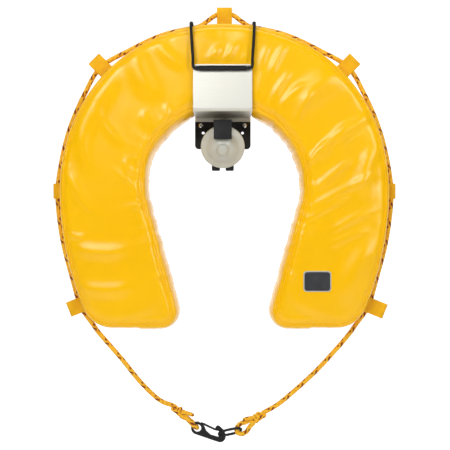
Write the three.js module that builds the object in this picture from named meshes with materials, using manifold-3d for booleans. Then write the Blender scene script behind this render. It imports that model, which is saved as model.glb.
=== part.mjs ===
// Horseshoe lifebuoy hanging in its stainless bracket, with grab line, snap hook and light.
//
// Millimetres, +Z up, the front faces -Y. The origin is on the rear face of the back plate,
// where the bracket is clamped to a rail. "Depth" below means distance in front of that face.
import * as THREE from 'three';
import { mergeVertices } from 'three/addons/utils/BufferGeometryUtils.js';
import Module from 'manifold-3d';

const wasm = await Module();
wasm.setup();

const rad = THREE.MathUtils.degToRad;
const GAP = 0.3; // between pieces that touch

// ---- driving dimensions ----

// buoy outline, seen from the front, about its own centre line
const BUOY_SIDE = 3; // the buoy hangs this far to the right of the bracket's middle
const ARC_Z = -182; // centre of the outer arc
const OUTER_RX = 287;
const OUTER_RZ = 291;
const SHOULDER = 3.5; // the outer edge is this much fuller than an ellipse half way round
const SIDE_R = 532; // the long, flat arc from the widest point down each leg
const TOE_OUTER_R = 54; // outer corner of a leg's end
const TOE_INNER_R = 27; // inner corner of a leg's end
const LEG_END_Z = -421;
const HOLE_Z = -171; // centre of the inner arc
const HOLE_R = 139;
const LEG_SPLAY = 15.3; // slope of a leg's inner edge, degrees

// buoy layers, as depths
const BUOY_BACK = 8;
const BUOY_FRONT = 106;
const SKIN = 1.2; // coated fabric
const FOAM_INSET = SKIN + GAP;
const RIM_DEPTH = (BUOY_BACK + BUOY_FRONT) / 2;

// bracket
const SHEET = 2; // stainless sheet
const BRACKET_WIDTH = 102;
const BACK_TOP = 60;
const BACK_BOTTOM = -67;
const BACK_FLANGE = 12; // top edge folded to the rear, which holds the shock cord
const SHELF_TOP = -43.6;
const HOOK_LEG_TOP = -6;
const HOOK_INSIDE = 111; // depth of the upstand's rear face
const LIP_Z = 31.6; // underside of the lip at the upstand's top
const LIP_REACH = 9;
const LIP_WIDTH = 94;
const CORD_R = 2.5;
const CORD_HOLE_X = 40;
const CORD_HOLE_Y = 6;
const CORD_BAR = { depth: 118.2, z: 27.4, half: 45 };

// light holder and light
const HOLDER_TOP = -53;
const HOLDER_BOTTOM = -103;
const HOLDER_THICK = 6;
const SCREW = { x: 40, z: -60 };
const CLIP_WIDTH = 32;
const CLIP_REACH = 77.5;
const CLIP_BOTTOM = -91;
const LIGHT_Z = -101.6;
const LIGHT_DEPTH = 45;
const LIGHT_TILT = 20; // the lens looks forward and this far down, degrees
const LENS_R = 39.5;
const BASE_R = 36;
const BASE_DEPTH = 24;

// grab line and closing line
const ROPE_R = 4;
const HINGE_Z = -428; // the closing line swings about this height
const HINGE_GAP = 3.2; // rope left out above and below it, so that the two parts clear each other
const HOOK_THICK = 6;
const LINK_STOCK = 4;

// ---- materials ----

const plain = (color, roughness, metalness = 0) =>
  new THREE.MeshStandardMaterial({ color, roughness, metalness });

const yellowCover = plain(0xffc400, 0.3);
const foamWhite = plain(0xe9e6da, 0.9);
const steel = plain(0xd8d8d6, 0.35, 1);
const blackPlastic = plain(0x222224, 0.5);
const blackElastic = plain(0x161617, 0.8);
const lensPlastic = plain(0xd9dfcc, 0.3);
const ropeYellow = plain(0xe89b1c, 0.85);
const patchGrey = plain(0x2f3136, 0.5);
const brightMetal = plain(0xc9c9cc, 0.3, 1);
const cellSleeve = plain(0x2b4f86, 0.5);
const boardGreen = plain(0x2c6b45, 0.6);

// ---- scene graph ----

const group = new THREE.Group();
const buoy = new THREE.Group();
buoy.position.x = BUOY_SIDE;
group.add(buoy);

function piece(parent, name, geometry, material) {
  const mesh = new THREE.Mesh(geometry, material);
  mesh.name = name;
  parent.add(mesh);
  return mesh;
}

// ---- geometry helpers ----

// points on an arc, angles in degrees counter-clockwise from +X
function arc(cx, cz, rx, rz, from, to, steps) {
  return Array.from({ length: steps + 1 }, (_, i) => {
    const angle = rad(from + ((to - from) * i) / steps);
    return new THREE.Vector2(cx + rx * Math.cos(angle), cz + rz * Math.sin(angle));
  });
}

// a front view, (x, z), extruded between two depths
function slab(shape, near, far) {
  const geometry = new THREE.ExtrudeGeometry(shape, { depth: far - near, bevelEnabled: false });
  return geometry.translate(0, 0, near).rotateX(rad(90));
}

// a side view, (depth, z), extruded across the given width
function fold(shape, width) {
  const geometry = new THREE.ExtrudeGeometry(shape, { depth: width, bevelEnabled: false });
  return geometry.rotateX(rad(90)).rotateZ(rad(-90)).translate(width / 2, 0, 0);
}

function rod(radius, near, far, x, z, sides = 16) {
  const geometry = new THREE.CylinderGeometry(radius, radius, far - near, sides);
  return geometry.translate(x, -(near + far) / 2, z);
}

function box(x0, x1, near, far, z0, z1) {
  const geometry = new THREE.BoxGeometry(x1 - x0, far - near, z1 - z0);
  return geometry.translate((x0 + x1) / 2, -(near + far) / 2, (z0 + z1) / 2);
}

function tube(points, radius, steps, sides = 8) {
  const section = new THREE.Shape(arc(0, 0, radius, radius, 0, 360, sides).slice(0, -1));
  const extrudePath = new THREE.CatmullRomCurve3(points, false, 'centripetal');
  return new THREE.ExtrudeGeometry(section, { steps, extrudePath, bevelEnabled: false });
}

function solidOf(geometry) {
  const bare = geometry.clone();
  bare.deleteAttribute('normal');
  bare.deleteAttribute('uv');
  const merged = mergeVertices(bare, 1e-4);
  const mesh = new wasm.Mesh({
    numProp: 3,
    vertProperties: merged.attributes.position.array,
    triVerts: Uint32Array.from(merged.index.array),
  });
  return new wasm.Manifold(mesh);
}

function geometryOf(solid) {
  const { vertProperties, triVerts } = solid.getMesh();
  const geometry = new THREE.BufferGeometry();
  geometry.setAttribute('position', new THREE.BufferAttribute(vertProperties, 3));
  geometry.setIndex(new THREE.BufferAttribute(triVerts, 1));
  geometry.computeVertexNormals();
  return geometry;
}

function cut(geometry, ...tools) {
  return geometryOf(tools.reduce((body, tool) => body.subtract(solidOf(tool)), solidOf(geometry)));
}

function join(...parts) {
  return geometryOf(parts.map(solidOf).reduce((body, part) => body.add(part)));
}

// ---- buoy outline ----

const mirrored = (half) => [
  ...half.map((p) => new THREE.Vector2(-p.x, p.y)).reverse(),
  ...half.slice(half[0].x === 0 ? 1 : 0),
];

// point of the outer edge at an angle above +X, within the top half
function shoulderPoint(inset, angle) {
  const fuller = SHOULDER * Math.sin(2 * rad(angle)) ** 2 - inset;
  const x = (OUTER_RX + fuller) * Math.cos(rad(angle));
  return new THREE.Vector2(x, ARC_Z + (OUTER_RZ + fuller) * Math.sin(rad(angle)));
}

const shoulderArc = (inset) =>
  Array.from({ length: 19 }, (_, i) => shoulderPoint(inset, 90 - 5 * i));

// right half of the outer edge, from the top down to the leg end's inner corner
function outerHalf(inset) {
  const sideR = SIDE_R - inset;
  const toeR = TOE_OUTER_R - inset;
  const endZ = LEG_END_Z + inset;
  const sideX = OUTER_RX - SIDE_R;
  const turn = THREE.MathUtils.radToDeg(Math.asin((ARC_Z - endZ - toeR) / (sideR - toeR)));
  const toeX = sideX + (sideR - toeR) * Math.cos(rad(turn));
  const toe = innerToe(inset);
  const half = [
    ...shoulderArc(inset),
    ...arc(sideX, ARC_Z, sideR, sideR, 0, -turn, 5).slice(1),
    ...arc(toeX, endZ + toeR, toeR, toeR, -turn, -90, 6).slice(1),
    ...arc(toe.x, toe.z, toe.r, toe.r, -90, -180 - LEG_SPLAY, 5),
  ];
  half[0].x = 0;
  return half;
}

// the inner corner of the right leg's end: its centre and radius
function innerToe(inset) {
  const r = TOE_INNER_R - inset;
  const sin = Math.sin(rad(LEG_SPLAY));
  const cos = Math.cos(rad(LEG_SPLAY));
  const holeR = HOLE_R + inset;
  const z = LEG_END_Z + inset + r;
  const along = (HOLE_Z - (holeR + r) * sin - z) / cos;
  return { x: (holeR + r) * cos - along * sin, z, r };
}

// right half of the inner edge, from the top of the hole down to the leg end's inner corner
function innerHalf(inset, shortBy = 0) {
  const toe = innerToe(inset);
  const sin = Math.sin(rad(LEG_SPLAY));
  const cos = Math.cos(rad(LEG_SPLAY));
  const end = new THREE.Vector2(
    toe.x - toe.r * cos + shortBy * sin,
    toe.z + toe.r * sin + shortBy * cos,
  );
  const half = arc(0, HOLE_Z, HOLE_R + inset, HOLE_R + inset, 90, -LEG_SPLAY, 14);
  half[0].x = 0;
  return [...half, end];
}

function horseshoe(inset) {
  const outer = mirrored(outerHalf(inset));
  const inner = mirrored(innerHalf(inset)).slice(1, -1);
  return new THREE.Shape([...outer, ...inner.reverse()]);
}

// a strip of cover that follows one edge
function strip(edge, inset) {
  return new THREE.Shape([...edge(0), ...edge(inset).reverse()]);
}

// ---- buoy: foam and cover ----

function addFloat() {
  const middle = RIM_DEPTH;
  const foam = horseshoe(FOAM_INSET);
  const panel = horseshoe(0);
  const near = BUOY_BACK + SKIN + GAP;
  const far = BUOY_FRONT - SKIN - GAP;
  const outer = strip((inset) => mirrored(outerHalf(inset)), SKIN);
  const inner = strip((inset) => mirrored(innerHalf(inset, 2 * GAP)), SKIN);
  piece(buoy, 'foam_core_back', slab(foam, near, middle - GAP / 2), foamWhite);
  piece(buoy, 'foam_core_front', slab(foam, middle + GAP / 2, far), foamWhite);
  piece(buoy, 'back_panel', slab(panel, BUOY_BACK, BUOY_BACK + SKIN), yellowCover);
  piece(buoy, 'front_panel', slab(panel, BUOY_FRONT - SKIN, BUOY_FRONT), yellowCover);
  piece(buoy, 'outer_gusset', slab(outer, near, far), yellowCover);
  piece(buoy, 'inner_gusset', slab(inner, near, far), yellowCover);
}

function addPatch() {
  const halfWidth = 24;
  const halfHeight = 18;
  const corner = 6;
  const outline = new THREE.Shape([
    ...arc(halfWidth - corner, halfHeight - corner, corner, corner, 0, 90, 4),
    ...arc(corner - halfWidth, halfHeight - corner, corner, corner, 90, 180, 4),
    ...arc(corner - halfWidth, corner - halfHeight, corner, corner, 180, 270, 4),
    ...arc(halfWidth - corner, corner - halfHeight, corner, corner, 270, 360, 4),
  ]);
  const patch = slab(outline, BUOY_FRONT + GAP, BUOY_FRONT + GAP + 1);
  piece(buoy, 'blank_patch', patch.translate(161, 0, -340), patchGrey);
}

// ---- buoy: rope loops ----

const STRAP = 1.6; // webbing thickness
const LOOP_WIDTH = 27;
const LOOP_HALF_DEPTH = 7.5;
const PAD_HALF_DEPTH = 16;

// section of a loop of webbing on its welded pad; height is measured outwards from the rim
function loopSection(height) {
  const r = LOOP_HALF_DEPTH;
  const hole = r - STRAP;
  const base = GAP + STRAP;
  const section = new THREE.Shape([
    new THREE.Vector2(-PAD_HALF_DEPTH, GAP),
    new THREE.Vector2(PAD_HALF_DEPTH, GAP),
    new THREE.Vector2(PAD_HALF_DEPTH, base),
    new THREE.Vector2(r, base),
    ...arc(0, height - r, r, r, 0, 180, 8),
    new THREE.Vector2(-r, base),
    new THREE.Vector2(-PAD_HALF_DEPTH, base),
  ]);
  section.holes.push(
    new THREE.Path([
      new THREE.Vector2(-hole, base + STRAP),
      new THREE.Vector2(hole, base + STRAP),
      ...arc(0, height - r, hole, hole, 0, 180, 8),
    ]),
  );
  return section;
}

// places a loop at a point of the rim, standing out along the given angle
function addLoop(name, x, z, angle, height) {
  const options = { depth: LOOP_WIDTH, bevelEnabled: false };
  const geometry = new THREE.ExtrudeGeometry(loopSection(height), options);
  geometry.translate(0, 0, -LOOP_WIDTH / 2).rotateX(rad(90)).rotateZ(rad(90));
  const loop = piece(buoy, name, geometry, yellowCover);
  loop.position.set(x, -RIM_DEPTH, z);
  loop.rotation.y = rad(90 - angle);
}

const SIDE_LOOP_ANGLE = 22;

function addLoops() {
  const lower = arc(OUTER_RX - SIDE_R, ARC_Z, SIDE_R, SIDE_R, 0, -SIDE_LOOP_ANGLE, 1)[1];
  const at = (angle) => shoulderPoint(0, angle);
  addLoop('loop_top', 0, ARC_Z + OUTER_RZ, 90, 36.5);
  for (const [side, mirror] of [['right', 1], ['left', -1]]) {
    const facing = (angle) => (mirror > 0 ? angle : 180 - angle);
    addLoop(`loop_upper_${side}`, mirror * at(45).x, at(45).y, facing(45), 39.5);
    addLoop(`loop_middle_${side}`, mirror * at(0).x, at(0).y, facing(0), 18);
    addLoop(`loop_lower_${side}`, mirror * lower.x, lower.y, facing(-SIDE_LOOP_ANGLE), mirror > 0 ? 41 : 32);
  }
}

// ---- grab line ----

// right half of the grab line, (x, z), from the top loop down to just above the swing height
const GRAB_LINE = [
  [0, 134],
  [15, 132],
  [31, 120.6],
  [42, 113.4],
  [52, 109.8],
  [64, 107.9],
  [112, 96],
  [172, 68],
  [221, 38.5],
  [250, -10],
  [275, -68],
  [290, -125],
  [297.5, -182],
  [294, -235],
  [285.5, -284],
  [272, -335],
  [258.5, -382],
  [249.5, -399],
  [238.5, -414],
  [230.7, HINGE_Z + HINGE_GAP],
];

const atRim = ([x, z]) => new THREE.Vector3(x, -RIM_DEPTH, z);

function addGrabLine() {
  const left = GRAB_LINE.slice(1).map(([x, z]) => [-x, z]).reverse();
  piece(buoy, 'grab_line', tube([...left, ...GRAB_LINE].map(atRim), ROPE_R, 80), ropeYellow);
}

// ---- closing line: two tails, their eyes, the snap hook and the link ----

const HOOK_EYE = [-48.2, -604.1]; // centre of the snap hook's eye
const HOOK_TILT = 18; // the hook points this far down to the right, degrees
const EYE_R = 7;
const LINK_MIDDLE = [9.9, -611];
const LINK_TURN = 12.4; // the link points this far up to the right, degrees
const LINK_TILT = 56; // and is turned this far about its own length
const LINK_HALF = 22.2;
const LINK_HALF_WIDTH = 13;
const LINK_BAR = [29.6, -606.9]; // middle of the link's right end

const TAIL_LEFT = [
  [-226.3, HINGE_Z - HINGE_GAP],
  [-215.3, -444],
  [-182.7, -481.5],
  [-147, -525],
  [-113.5, -555.5],
];
const TAIL_RIGHT = [
  [226.3, HINGE_Z - HINGE_GAP],
  [218, -441.8],
  [199, -463.9],
  [161, -504.5],
  [118, -543.5],
  [93, -563.5],
];

// a rope eye in line with the rope: two legs leave the knot, and meet round a bar
// centre of the bend, direction towards the knot, then each point as (along, across, depth)
function eyePath([x, z], [ux, uz], points) {
  const place = ([along, across, depth]) =>
    new THREE.Vector3(x + along * ux - across * uz, -RIM_DEPTH - depth, z + along * uz + across * ux);
  return points.map(place);
}

function barrel(name, [x, z], [ux, uz], from, to, radius) {
  const geometry = new THREE.CylinderGeometry(radius, radius, to - from, 14);
  geometry.rotateZ(rad(-90)).rotateY(-Math.atan2(uz, ux));
  const mesh = piece(buoy, name, geometry, ropeYellow);
  const middle = (from + to) / 2;
  mesh.position.set(x + middle * ux, -RIM_DEPTH, z + middle * uz);
}

const LEFT_UP = [-0.731, 0.682]; // from the hook's eye up along the left tail
const RIGHT_UP = [0.8, 0.6]; // from the link up along the right tail
const LEFT_BEND = [HOOK_EYE[0] + 0.8 * LEFT_UP[0], HOOK_EYE[1] + 0.8 * LEFT_UP[1]];
const KNOT_LENGTH = 23;
const LEFT_KNOT = 26.5; // distance of the knot from the bend
const RIGHT_KNOT = 20.5;

// the last two points of a tail, which enters its knot in line with it
function intoKnot([x, z], [ux, uz], start) {
  const end = start + KNOT_LENGTH + 2 * GAP;
  return [end + 6, end].map((away) => [x + away * ux, z + away * uz]);
}

function addClosingLine() {
  const leftEye = [
    [26, 0, 4.4],
    [20, 0, 4.8],
    [13, 0, 7.6],
    [5, 0, 7.5],
    [0, 0, 0],
    [5, 0, -7.5],
    [13, 0, -7.6],
    [20, 0, -4.8],
    [26, 0, -4.4],
  ];
  const rightEye = [
    [19.6, 4.6, 0],
    [15, 5.4, 0],
    [7, 8.6, 0],
    [-3, 7.4, 0],
    [-8.4, 0, 0],
    [-3, -7.4, 0],
    [7, -8.6, 0],
    [15, -5.4, 0],
    [19.6, -4.6, 0],
  ];
  const leftTail = [...TAIL_LEFT, ...intoKnot(LEFT_BEND, LEFT_UP, LEFT_KNOT)];
  const rightTail = [...TAIL_RIGHT, ...intoKnot(LINK_BAR, RIGHT_UP, RIGHT_KNOT)];
  piece(buoy, 'tail_left', tube(leftTail.map(atRim), ROPE_R, 16), ropeYellow);
  piece(buoy, 'tail_right', tube(rightTail.map(atRim), ROPE_R, 16), ropeYellow);
  piece(buoy, 'eye_left', tube(eyePath(LEFT_BEND, LEFT_UP, leftEye), ROPE_R, 20), ropeYellow);
  piece(buoy, 'eye_right', tube(eyePath(LINK_BAR, RIGHT_UP, rightEye), ROPE_R, 20), ropeYellow);
  barrel('knot_left', LEFT_BEND, LEFT_UP, LEFT_KNOT, LEFT_KNOT + KNOT_LENGTH, 8.6);
  barrel('knot_right', LINK_BAR, RIGHT_UP, RIGHT_KNOT, RIGHT_KNOT + KNOT_LENGTH, 9);
}

// The snap hook in its own front view: the eye's centre is (0, 0) and the hook runs along +x.
function hookOutline() {
  const outline = new THREE.Shape([
    ...arc(0, 0, 10.5, 10.5, 100, 262, 8),
    new THREE.Vector2(28, -11.2),
    ...arc(43.5, -1.5, 9.7, 9.3, -90, 40, 7),
    new THREE.Vector2(44.5, 9.6),
    ...arc(33.5, 12.6, 3.4, 3.4, 60, 270, 6),
    new THREE.Vector2(38, 7.2),
    ...arc(39, 1, 6, 6, 60, -90, 6),
    new THREE.Vector2(26, -4.2),
    new THREE.Vector2(14.5, 0.5),
    new THREE.Vector2(10.6, 4.6),
    new THREE.Vector2(8.2, 7),
    new THREE.Vector2(4, 8.4),
  ]);
  outline.holes.push(new THREE.Path(arc(0, 0, EYE_R, EYE_R, 0, 360, 16).slice(0, -1)));
  return outline;
}

// the gate springs from the top of the eye, and its tip rests under the hook's nose
function gateOutline() {
  return new THREE.Shape([
    new THREE.Vector2(3.4, 9.1),
    new THREE.Vector2(9.2, 8.8),
    new THREE.Vector2(30.6, 6),
    new THREE.Vector2(34.5, 6.2),
    new THREE.Vector2(34.5, 8.7),
    new THREE.Vector2(29.6, 8.6),
    new THREE.Vector2(9.5, 11.6),
    new THREE.Vector2(3.2, 11.8),
  ]);
}

function addHook() {
  const hook = new THREE.Group();
  hook.position.set(HOOK_EYE[0], -RIM_DEPTH, HOOK_EYE[1]);
  hook.rotation.y = rad(HOOK_TILT);
  buoy.add(hook);
  piece(hook, 'snap_hook', slab(hookOutline(), -HOOK_THICK / 2, HOOK_THICK / 2), blackPlastic);
  piece(hook, 'hook_gate', slab(gateOutline(), -2, 2), blackPlastic);
}

function stadium(halfLength, halfWidth) {
  const reach = halfLength - halfWidth;
  return [
    ...arc(reach, 0, halfWidth, halfWidth, -90, 90, 10),
    ...arc(-reach, 0, halfWidth, halfWidth, 90, 270, 10),
  ];
}

function addLink() {
  const chamfer = 1;
  const outer = stadium(LINK_HALF - chamfer, LINK_HALF_WIDTH - chamfer);
  const inner = stadium(LINK_HALF - LINK_STOCK + chamfer, LINK_HALF_WIDTH - LINK_STOCK + chamfer);
  const ring = new THREE.Shape(outer);
  ring.holes.push(new THREE.Path(inner));
  const straight = LINK_STOCK - 2 * chamfer;
  const geometry = new THREE.ExtrudeGeometry(ring, {
    depth: straight,
    bevelThickness: chamfer,
    bevelSize: chamfer,
    bevelSegments: 1,
  });
  geometry.translate(0, 0, -straight / 2).rotateX(rad(90));
  const link = piece(buoy, 'oval_link', geometry, blackPlastic);
  link.position.set(LINK_MIDDLE[0], -RIM_DEPTH, LINK_MIDDLE[1]);
  link.rotation.order = 'YXZ';
  link.rotation.set(rad(LINK_TILT), rad(-LINK_TURN), 0);
}

// ---- bracket ----

const RIVETS = [[-38, -22], [38, -22], [-14, -22], [14, -22]];
const CLAMP_HOLES = [[-16, 10], [16, 10], [-16, 42], [16, 42]];
const RIVET_R = 2.4;
const HALF = BRACKET_WIDTH / 2;

const profile = (points) => new THREE.Shape(points.map(([depth, z]) => new THREE.Vector2(depth, z)));

function addBackPlate() {
  const section = profile([
    [0, BACK_BOTTOM],
    [SHEET, BACK_BOTTOM],
    [SHEET, BACK_TOP],
    [-BACK_FLANGE, BACK_TOP],
    [-BACK_FLANGE, BACK_TOP - SHEET],
    [0, BACK_TOP - SHEET],
  ]);
  const through = ([x, z], radius) => rod(radius, -5, 5, x, z);
  const cordHole = (x) => {
    const hole = new THREE.CylinderGeometry(CORD_R + 0.5, CORD_R + 0.5, 10, 16);
    return hole.rotateX(rad(90)).translate(x, CORD_HOLE_Y, BACK_TOP);
  };
  const plate = cut(
    fold(section, BRACKET_WIDTH),
    ...RIVETS.map((at) => through(at, RIVET_R + GAP)),
    ...CLAMP_HOLES.map((at) => through(at, 3.3)),
    through([SCREW.x, SCREW.z], 2.8),
    through([-SCREW.x, SCREW.z], 2.8),
    cordHole(CORD_HOLE_X),
    cordHole(-CORD_HOLE_X),
  );
  piece(group, 'back_plate', plate, steel);
}

// one sheet folded into a J: a short leg on the back plate, the shelf, the upstand and its lip
function addHookPlate() {
  const near = SHEET + GAP;
  const far = HOOK_INSIDE;
  const under = SHELF_TOP - SHEET;
  const bend = 5;
  const lip = LIP_Z + SHEET;
  const inside = bend - SHEET;
  const toPairs = (points) => points.map((p) => [p.x, p.y]);
  const section = profile([
    [near, HOOK_LEG_TOP],
    ...toPairs(arc(near + bend, under + bend, bend, bend, 180, 270, 4)),
    ...toPairs(arc(far + SHEET - bend, under + bend, bend, bend, 270, 360, 4)),
    [far + SHEET, LIP_Z],
    [far + SHEET + LIP_REACH, LIP_Z],
    [far + SHEET + LIP_REACH, lip],
    [far, lip],
    ...toPairs(arc(far - inside, under + bend, inside, inside, 360, 270, 4)),
    ...toPairs(arc(near + SHEET + inside, under + bend, inside, inside, 270, 180, 4)),
    [near + SHEET, HOOK_LEG_TOP],
  ]);
  const notch = (side) => {
    const edges = [side * (LIP_WIDTH / 2), side * (HALF + 1)].sort((a, b) => a - b);
    return box(edges[0], edges[1], far + SHEET, far + SHEET + LIP_REACH + 1, LIP_Z - 1, lip + 1);
  };
  const holes = RIVETS.map(([x, z]) => rod(RIVET_R + GAP, 0, 8, x, z));
  const plate = cut(fold(section, BRACKET_WIDTH), notch(1), notch(-1), ...holes);
  piece(group, 'hook_plate', plate, steel);
}

// shank and domed head turned about the fastener's own axis, which points forwards
function fastener(name, x, z, shankFrom, head, shankR, headR, headHeight, material) {
  const outline = [
    new THREE.Vector2(0, shankFrom),
    new THREE.Vector2(shankR, shankFrom),
    new THREE.Vector2(shankR, head),
    new THREE.Vector2(headR, head),
    new THREE.Vector2(headR * 0.9, head + headHeight * 0.6),
    new THREE.Vector2(headR * 0.5, head + headHeight),
    new THREE.Vector2(0, head + headHeight),
  ];
  const geometry = new THREE.LatheGeometry(outline, 16).rotateX(rad(180));
  piece(group, name, geometry.translate(x, 0, z), material);
}

function addRivets() {
  const face = 2 * SHEET + 2 * GAP;
  RIVETS.forEach(([x, z], i) => {
    fastener(`rivet_${i + 1}`, x, z, 0.2, face, RIVET_R, 4.2, 1.4, brightMetal);
  });
}

// ---- shock cord ----

// right half: from the knot under the rear flange, over the buoy's top and down to the bar
const SHOCK_CORD = [
  [CORD_HOLE_X, -CORD_HOLE_Y, 57.4],
  [CORD_HOLE_X + 0.5, -CORD_HOLE_Y, 66],
  [46, -4, 88],
  [51.5, -1, 99.5],
  [54.3, 6, 106.5],
  [55, 16, 110.6],
  [55, 34, 114.8],
  [55, 48, 116.7],
  [55, 58, 117],
  [55, 70, 115.4],
  [55, 86, 111.9],
  [55, 97, 109.7],
  [55, 104, 108.2],
  [54.9, 108.8, 105.8],
  [54.7, 111.9, 100.5],
  [53, 114.5, 70],
  [51.2, 117.4, 43],
  [51.2, CORD_BAR.depth, 34],
  [50, CORD_BAR.depth, 29.2],
  [CORD_BAR.half, CORD_BAR.depth, CORD_BAR.z],
  [CORD_BAR.half - 6, CORD_BAR.depth, CORD_BAR.z],
];

function addShockCord() {
  const point = ([x, depth, z]) => new THREE.Vector3(x, -depth, z);
  const left = SHOCK_CORD.map(([x, depth, z]) => [-x, depth, z]);
  const route = [...left, [0, CORD_BAR.depth, CORD_BAR.z], ...[...SHOCK_CORD].reverse()];
  piece(group, 'shock_cord', tube(route.map(point), CORD_R, 110), blackElastic);
  const outer = CORD_R + 1.2;
  const inner = CORD_R + 0.4;
  const half = CORD_BAR.half - 5;
  const wall = [[inner, -half], [outer, -half], [outer, half], [inner, half], [inner, -half]];
  const sleeve = new THREE.LatheGeometry(wall.map(([r, x]) => new THREE.Vector2(r, x)), 14);
  sleeve.rotateZ(rad(90)).translate(0, -CORD_BAR.depth, CORD_BAR.z);
  piece(group, 'cord_sleeve', sleeve, blackElastic);
  for (const [side, mirror] of [['right', 1], ['left', -1]]) {
    const knot = new THREE.CylinderGeometry(5, 4, 8, 12).rotateX(rad(90));
    knot.translate(mirror * CORD_HOLE_X, CORD_HOLE_Y, 53);
    piece(group, `cord_knot_${side}`, knot, blackElastic);
  }
}

// ---- light holder ----

function addHolder() {
  const near = SHEET + GAP;
  const far = near + HOLDER_THICK;
  const corner = 7;
  const outline = new THREE.Shape([
    new THREE.Vector2(HALF, HOLDER_TOP),
    new THREE.Vector2(-HALF, HOLDER_TOP),
    ...arc(corner - HALF, HOLDER_BOTTOM + corner, corner, corner, 180, 270, 4),
    ...arc(HALF - corner, HOLDER_BOTTOM + corner, corner, corner, 270, 360, 4),
  ]);
  const hole = (x, z, r) => new THREE.Path(arc(x, z, r, r, 0, 360, 14).slice(0, -1));
  for (const side of [1, -1]) {
    outline.holes.push(hole(side * SCREW.x, SCREW.z, 2.8));
    outline.holes.push(hole(side * 36, -73.3, 2.6));
  }
  piece(group, 'holder_plate', slab(outline, near, far), blackPlastic);
  fastener('holder_screw_right', SCREW.x, SCREW.z, 0.2, far + GAP, 2.5, 4.4, 2.2, brightMetal);
  fastener('holder_screw_left', -SCREW.x, SCREW.z, 0.2, far + GAP, 2.5, 4.4, 2.2, brightMetal);

  const face = far + GAP;
  const wall = 3.5;
  const top = HOLDER_TOP - 3.5;
  const clip = profile([
    [face, top],
    [CLIP_REACH, top],
    [CLIP_REACH, CLIP_BOTTOM],
    [CLIP_REACH - wall, CLIP_BOTTOM],
    [CLIP_REACH - wall, top - wall],
    [face + wall, top - wall],
    [face + wall, -65],
    [face, -65],
  ]);
  piece(group, 'holder_clip', fold(clip, CLIP_WIDTH), blackPlastic);
  const wedge = profile([
    [face, -66],
    [31.6, -66],
    [20.4, -97],
    [face, -97],
  ]);
  piece(group, 'holder_wedge', fold(wedge, CLIP_WIDTH - 4), blackPlastic);
}

// ---- light ----

const turned = (pairs, segments = 24) =>
  new THREE.LatheGeometry(pairs.map(([r, h]) => new THREE.Vector2(r, h)), segments);

// The light is turned about its own +Y, which looks out through the lens; local +Z is its underside.
function addLight() {
  const light = new THREE.Group();
  light.position.set(0, -LIGHT_DEPTH, LIGHT_Z);
  light.rotation.x = rad(180 + LIGHT_TILT);
  group.add(light);

  const wall = 3;
  const cup = turned([
    [0, -BASE_DEPTH],
    [BASE_R - wall, -BASE_DEPTH],
    [BASE_R, wall - BASE_DEPTH],
    [BASE_R, -GAP],
    [BASE_R - wall, -GAP],
    [BASE_R - wall, wall - BASE_DEPTH],
    [0, wall - BASE_DEPTH],
  ]);
  const foot = (x) => new THREE.BoxGeometry(15, 15, 15).translate(x, -12, BASE_R + 3.5);
  piece(light, 'light_base', join(cup, foot(12.5), foot(-12.5)), blackPlastic);

  const lens = turned([
    [0, 27.5],
    [5, 26.6],
    [8.2, 24.2],
    [9.6, 20.4],
    [18.8, 16.2],
    [24.6, 10.8],
    [27, 6.4],
    [BASE_R - 1.5, 3],
    [BASE_R - 1.5, 0],
    [LENS_R, 0],
    [LENS_R, 3.4],
    [LENS_R - 1, 4.6],
    [28.4, 8.6],
    [26.4, 12],
    [20, 18],
    [11.4, 22],
    [10, 25.4],
    [6, 28.4],
    [0, 29.5],
  ]);
  piece(light, 'light_lens', lens, lensPlastic);
  const board = turned([[0, 0.6], [26, 0.6], [26, 2.2], [0, 2.2]]);
  piece(light, 'light_board', board, boardGreen);
  const lamp = turned([[0, 2.5], [4, 2.5], [4, 10], [2.6, 12.6], [0, 13.6]], 12);
  piece(light, 'light_lamp', lamp, lensPlastic);
  for (const [name, z] of [['battery_upper', -9], ['battery_lower', 9]]) {
    const cell = new THREE.CylinderGeometry(7.2, 7.2, 50, 16).rotateZ(rad(90));
    piece(light, name, cell.translate(0, -11, z), cellSleeve);
  }
}

addFloat();
addPatch();
addLoops();
addGrabLine();
addClosingLine();
addHook();
addLink();
addBackPlate();
addHookPlate();
addRivets();
addShockCord();
addHolder();
addLight();

export default group;
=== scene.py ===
"""Looks of the horseshoe lifebuoy in its bracket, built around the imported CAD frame.

Metres, +Z up, the front faces -Y. "Depth" is the distance in front of the bracket's rear face.
"""

import math

import bmesh
import bpy
import numpy as np
from mathutils import Matrix, Vector
from mathutils.bvhtree import BVHTree


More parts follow.
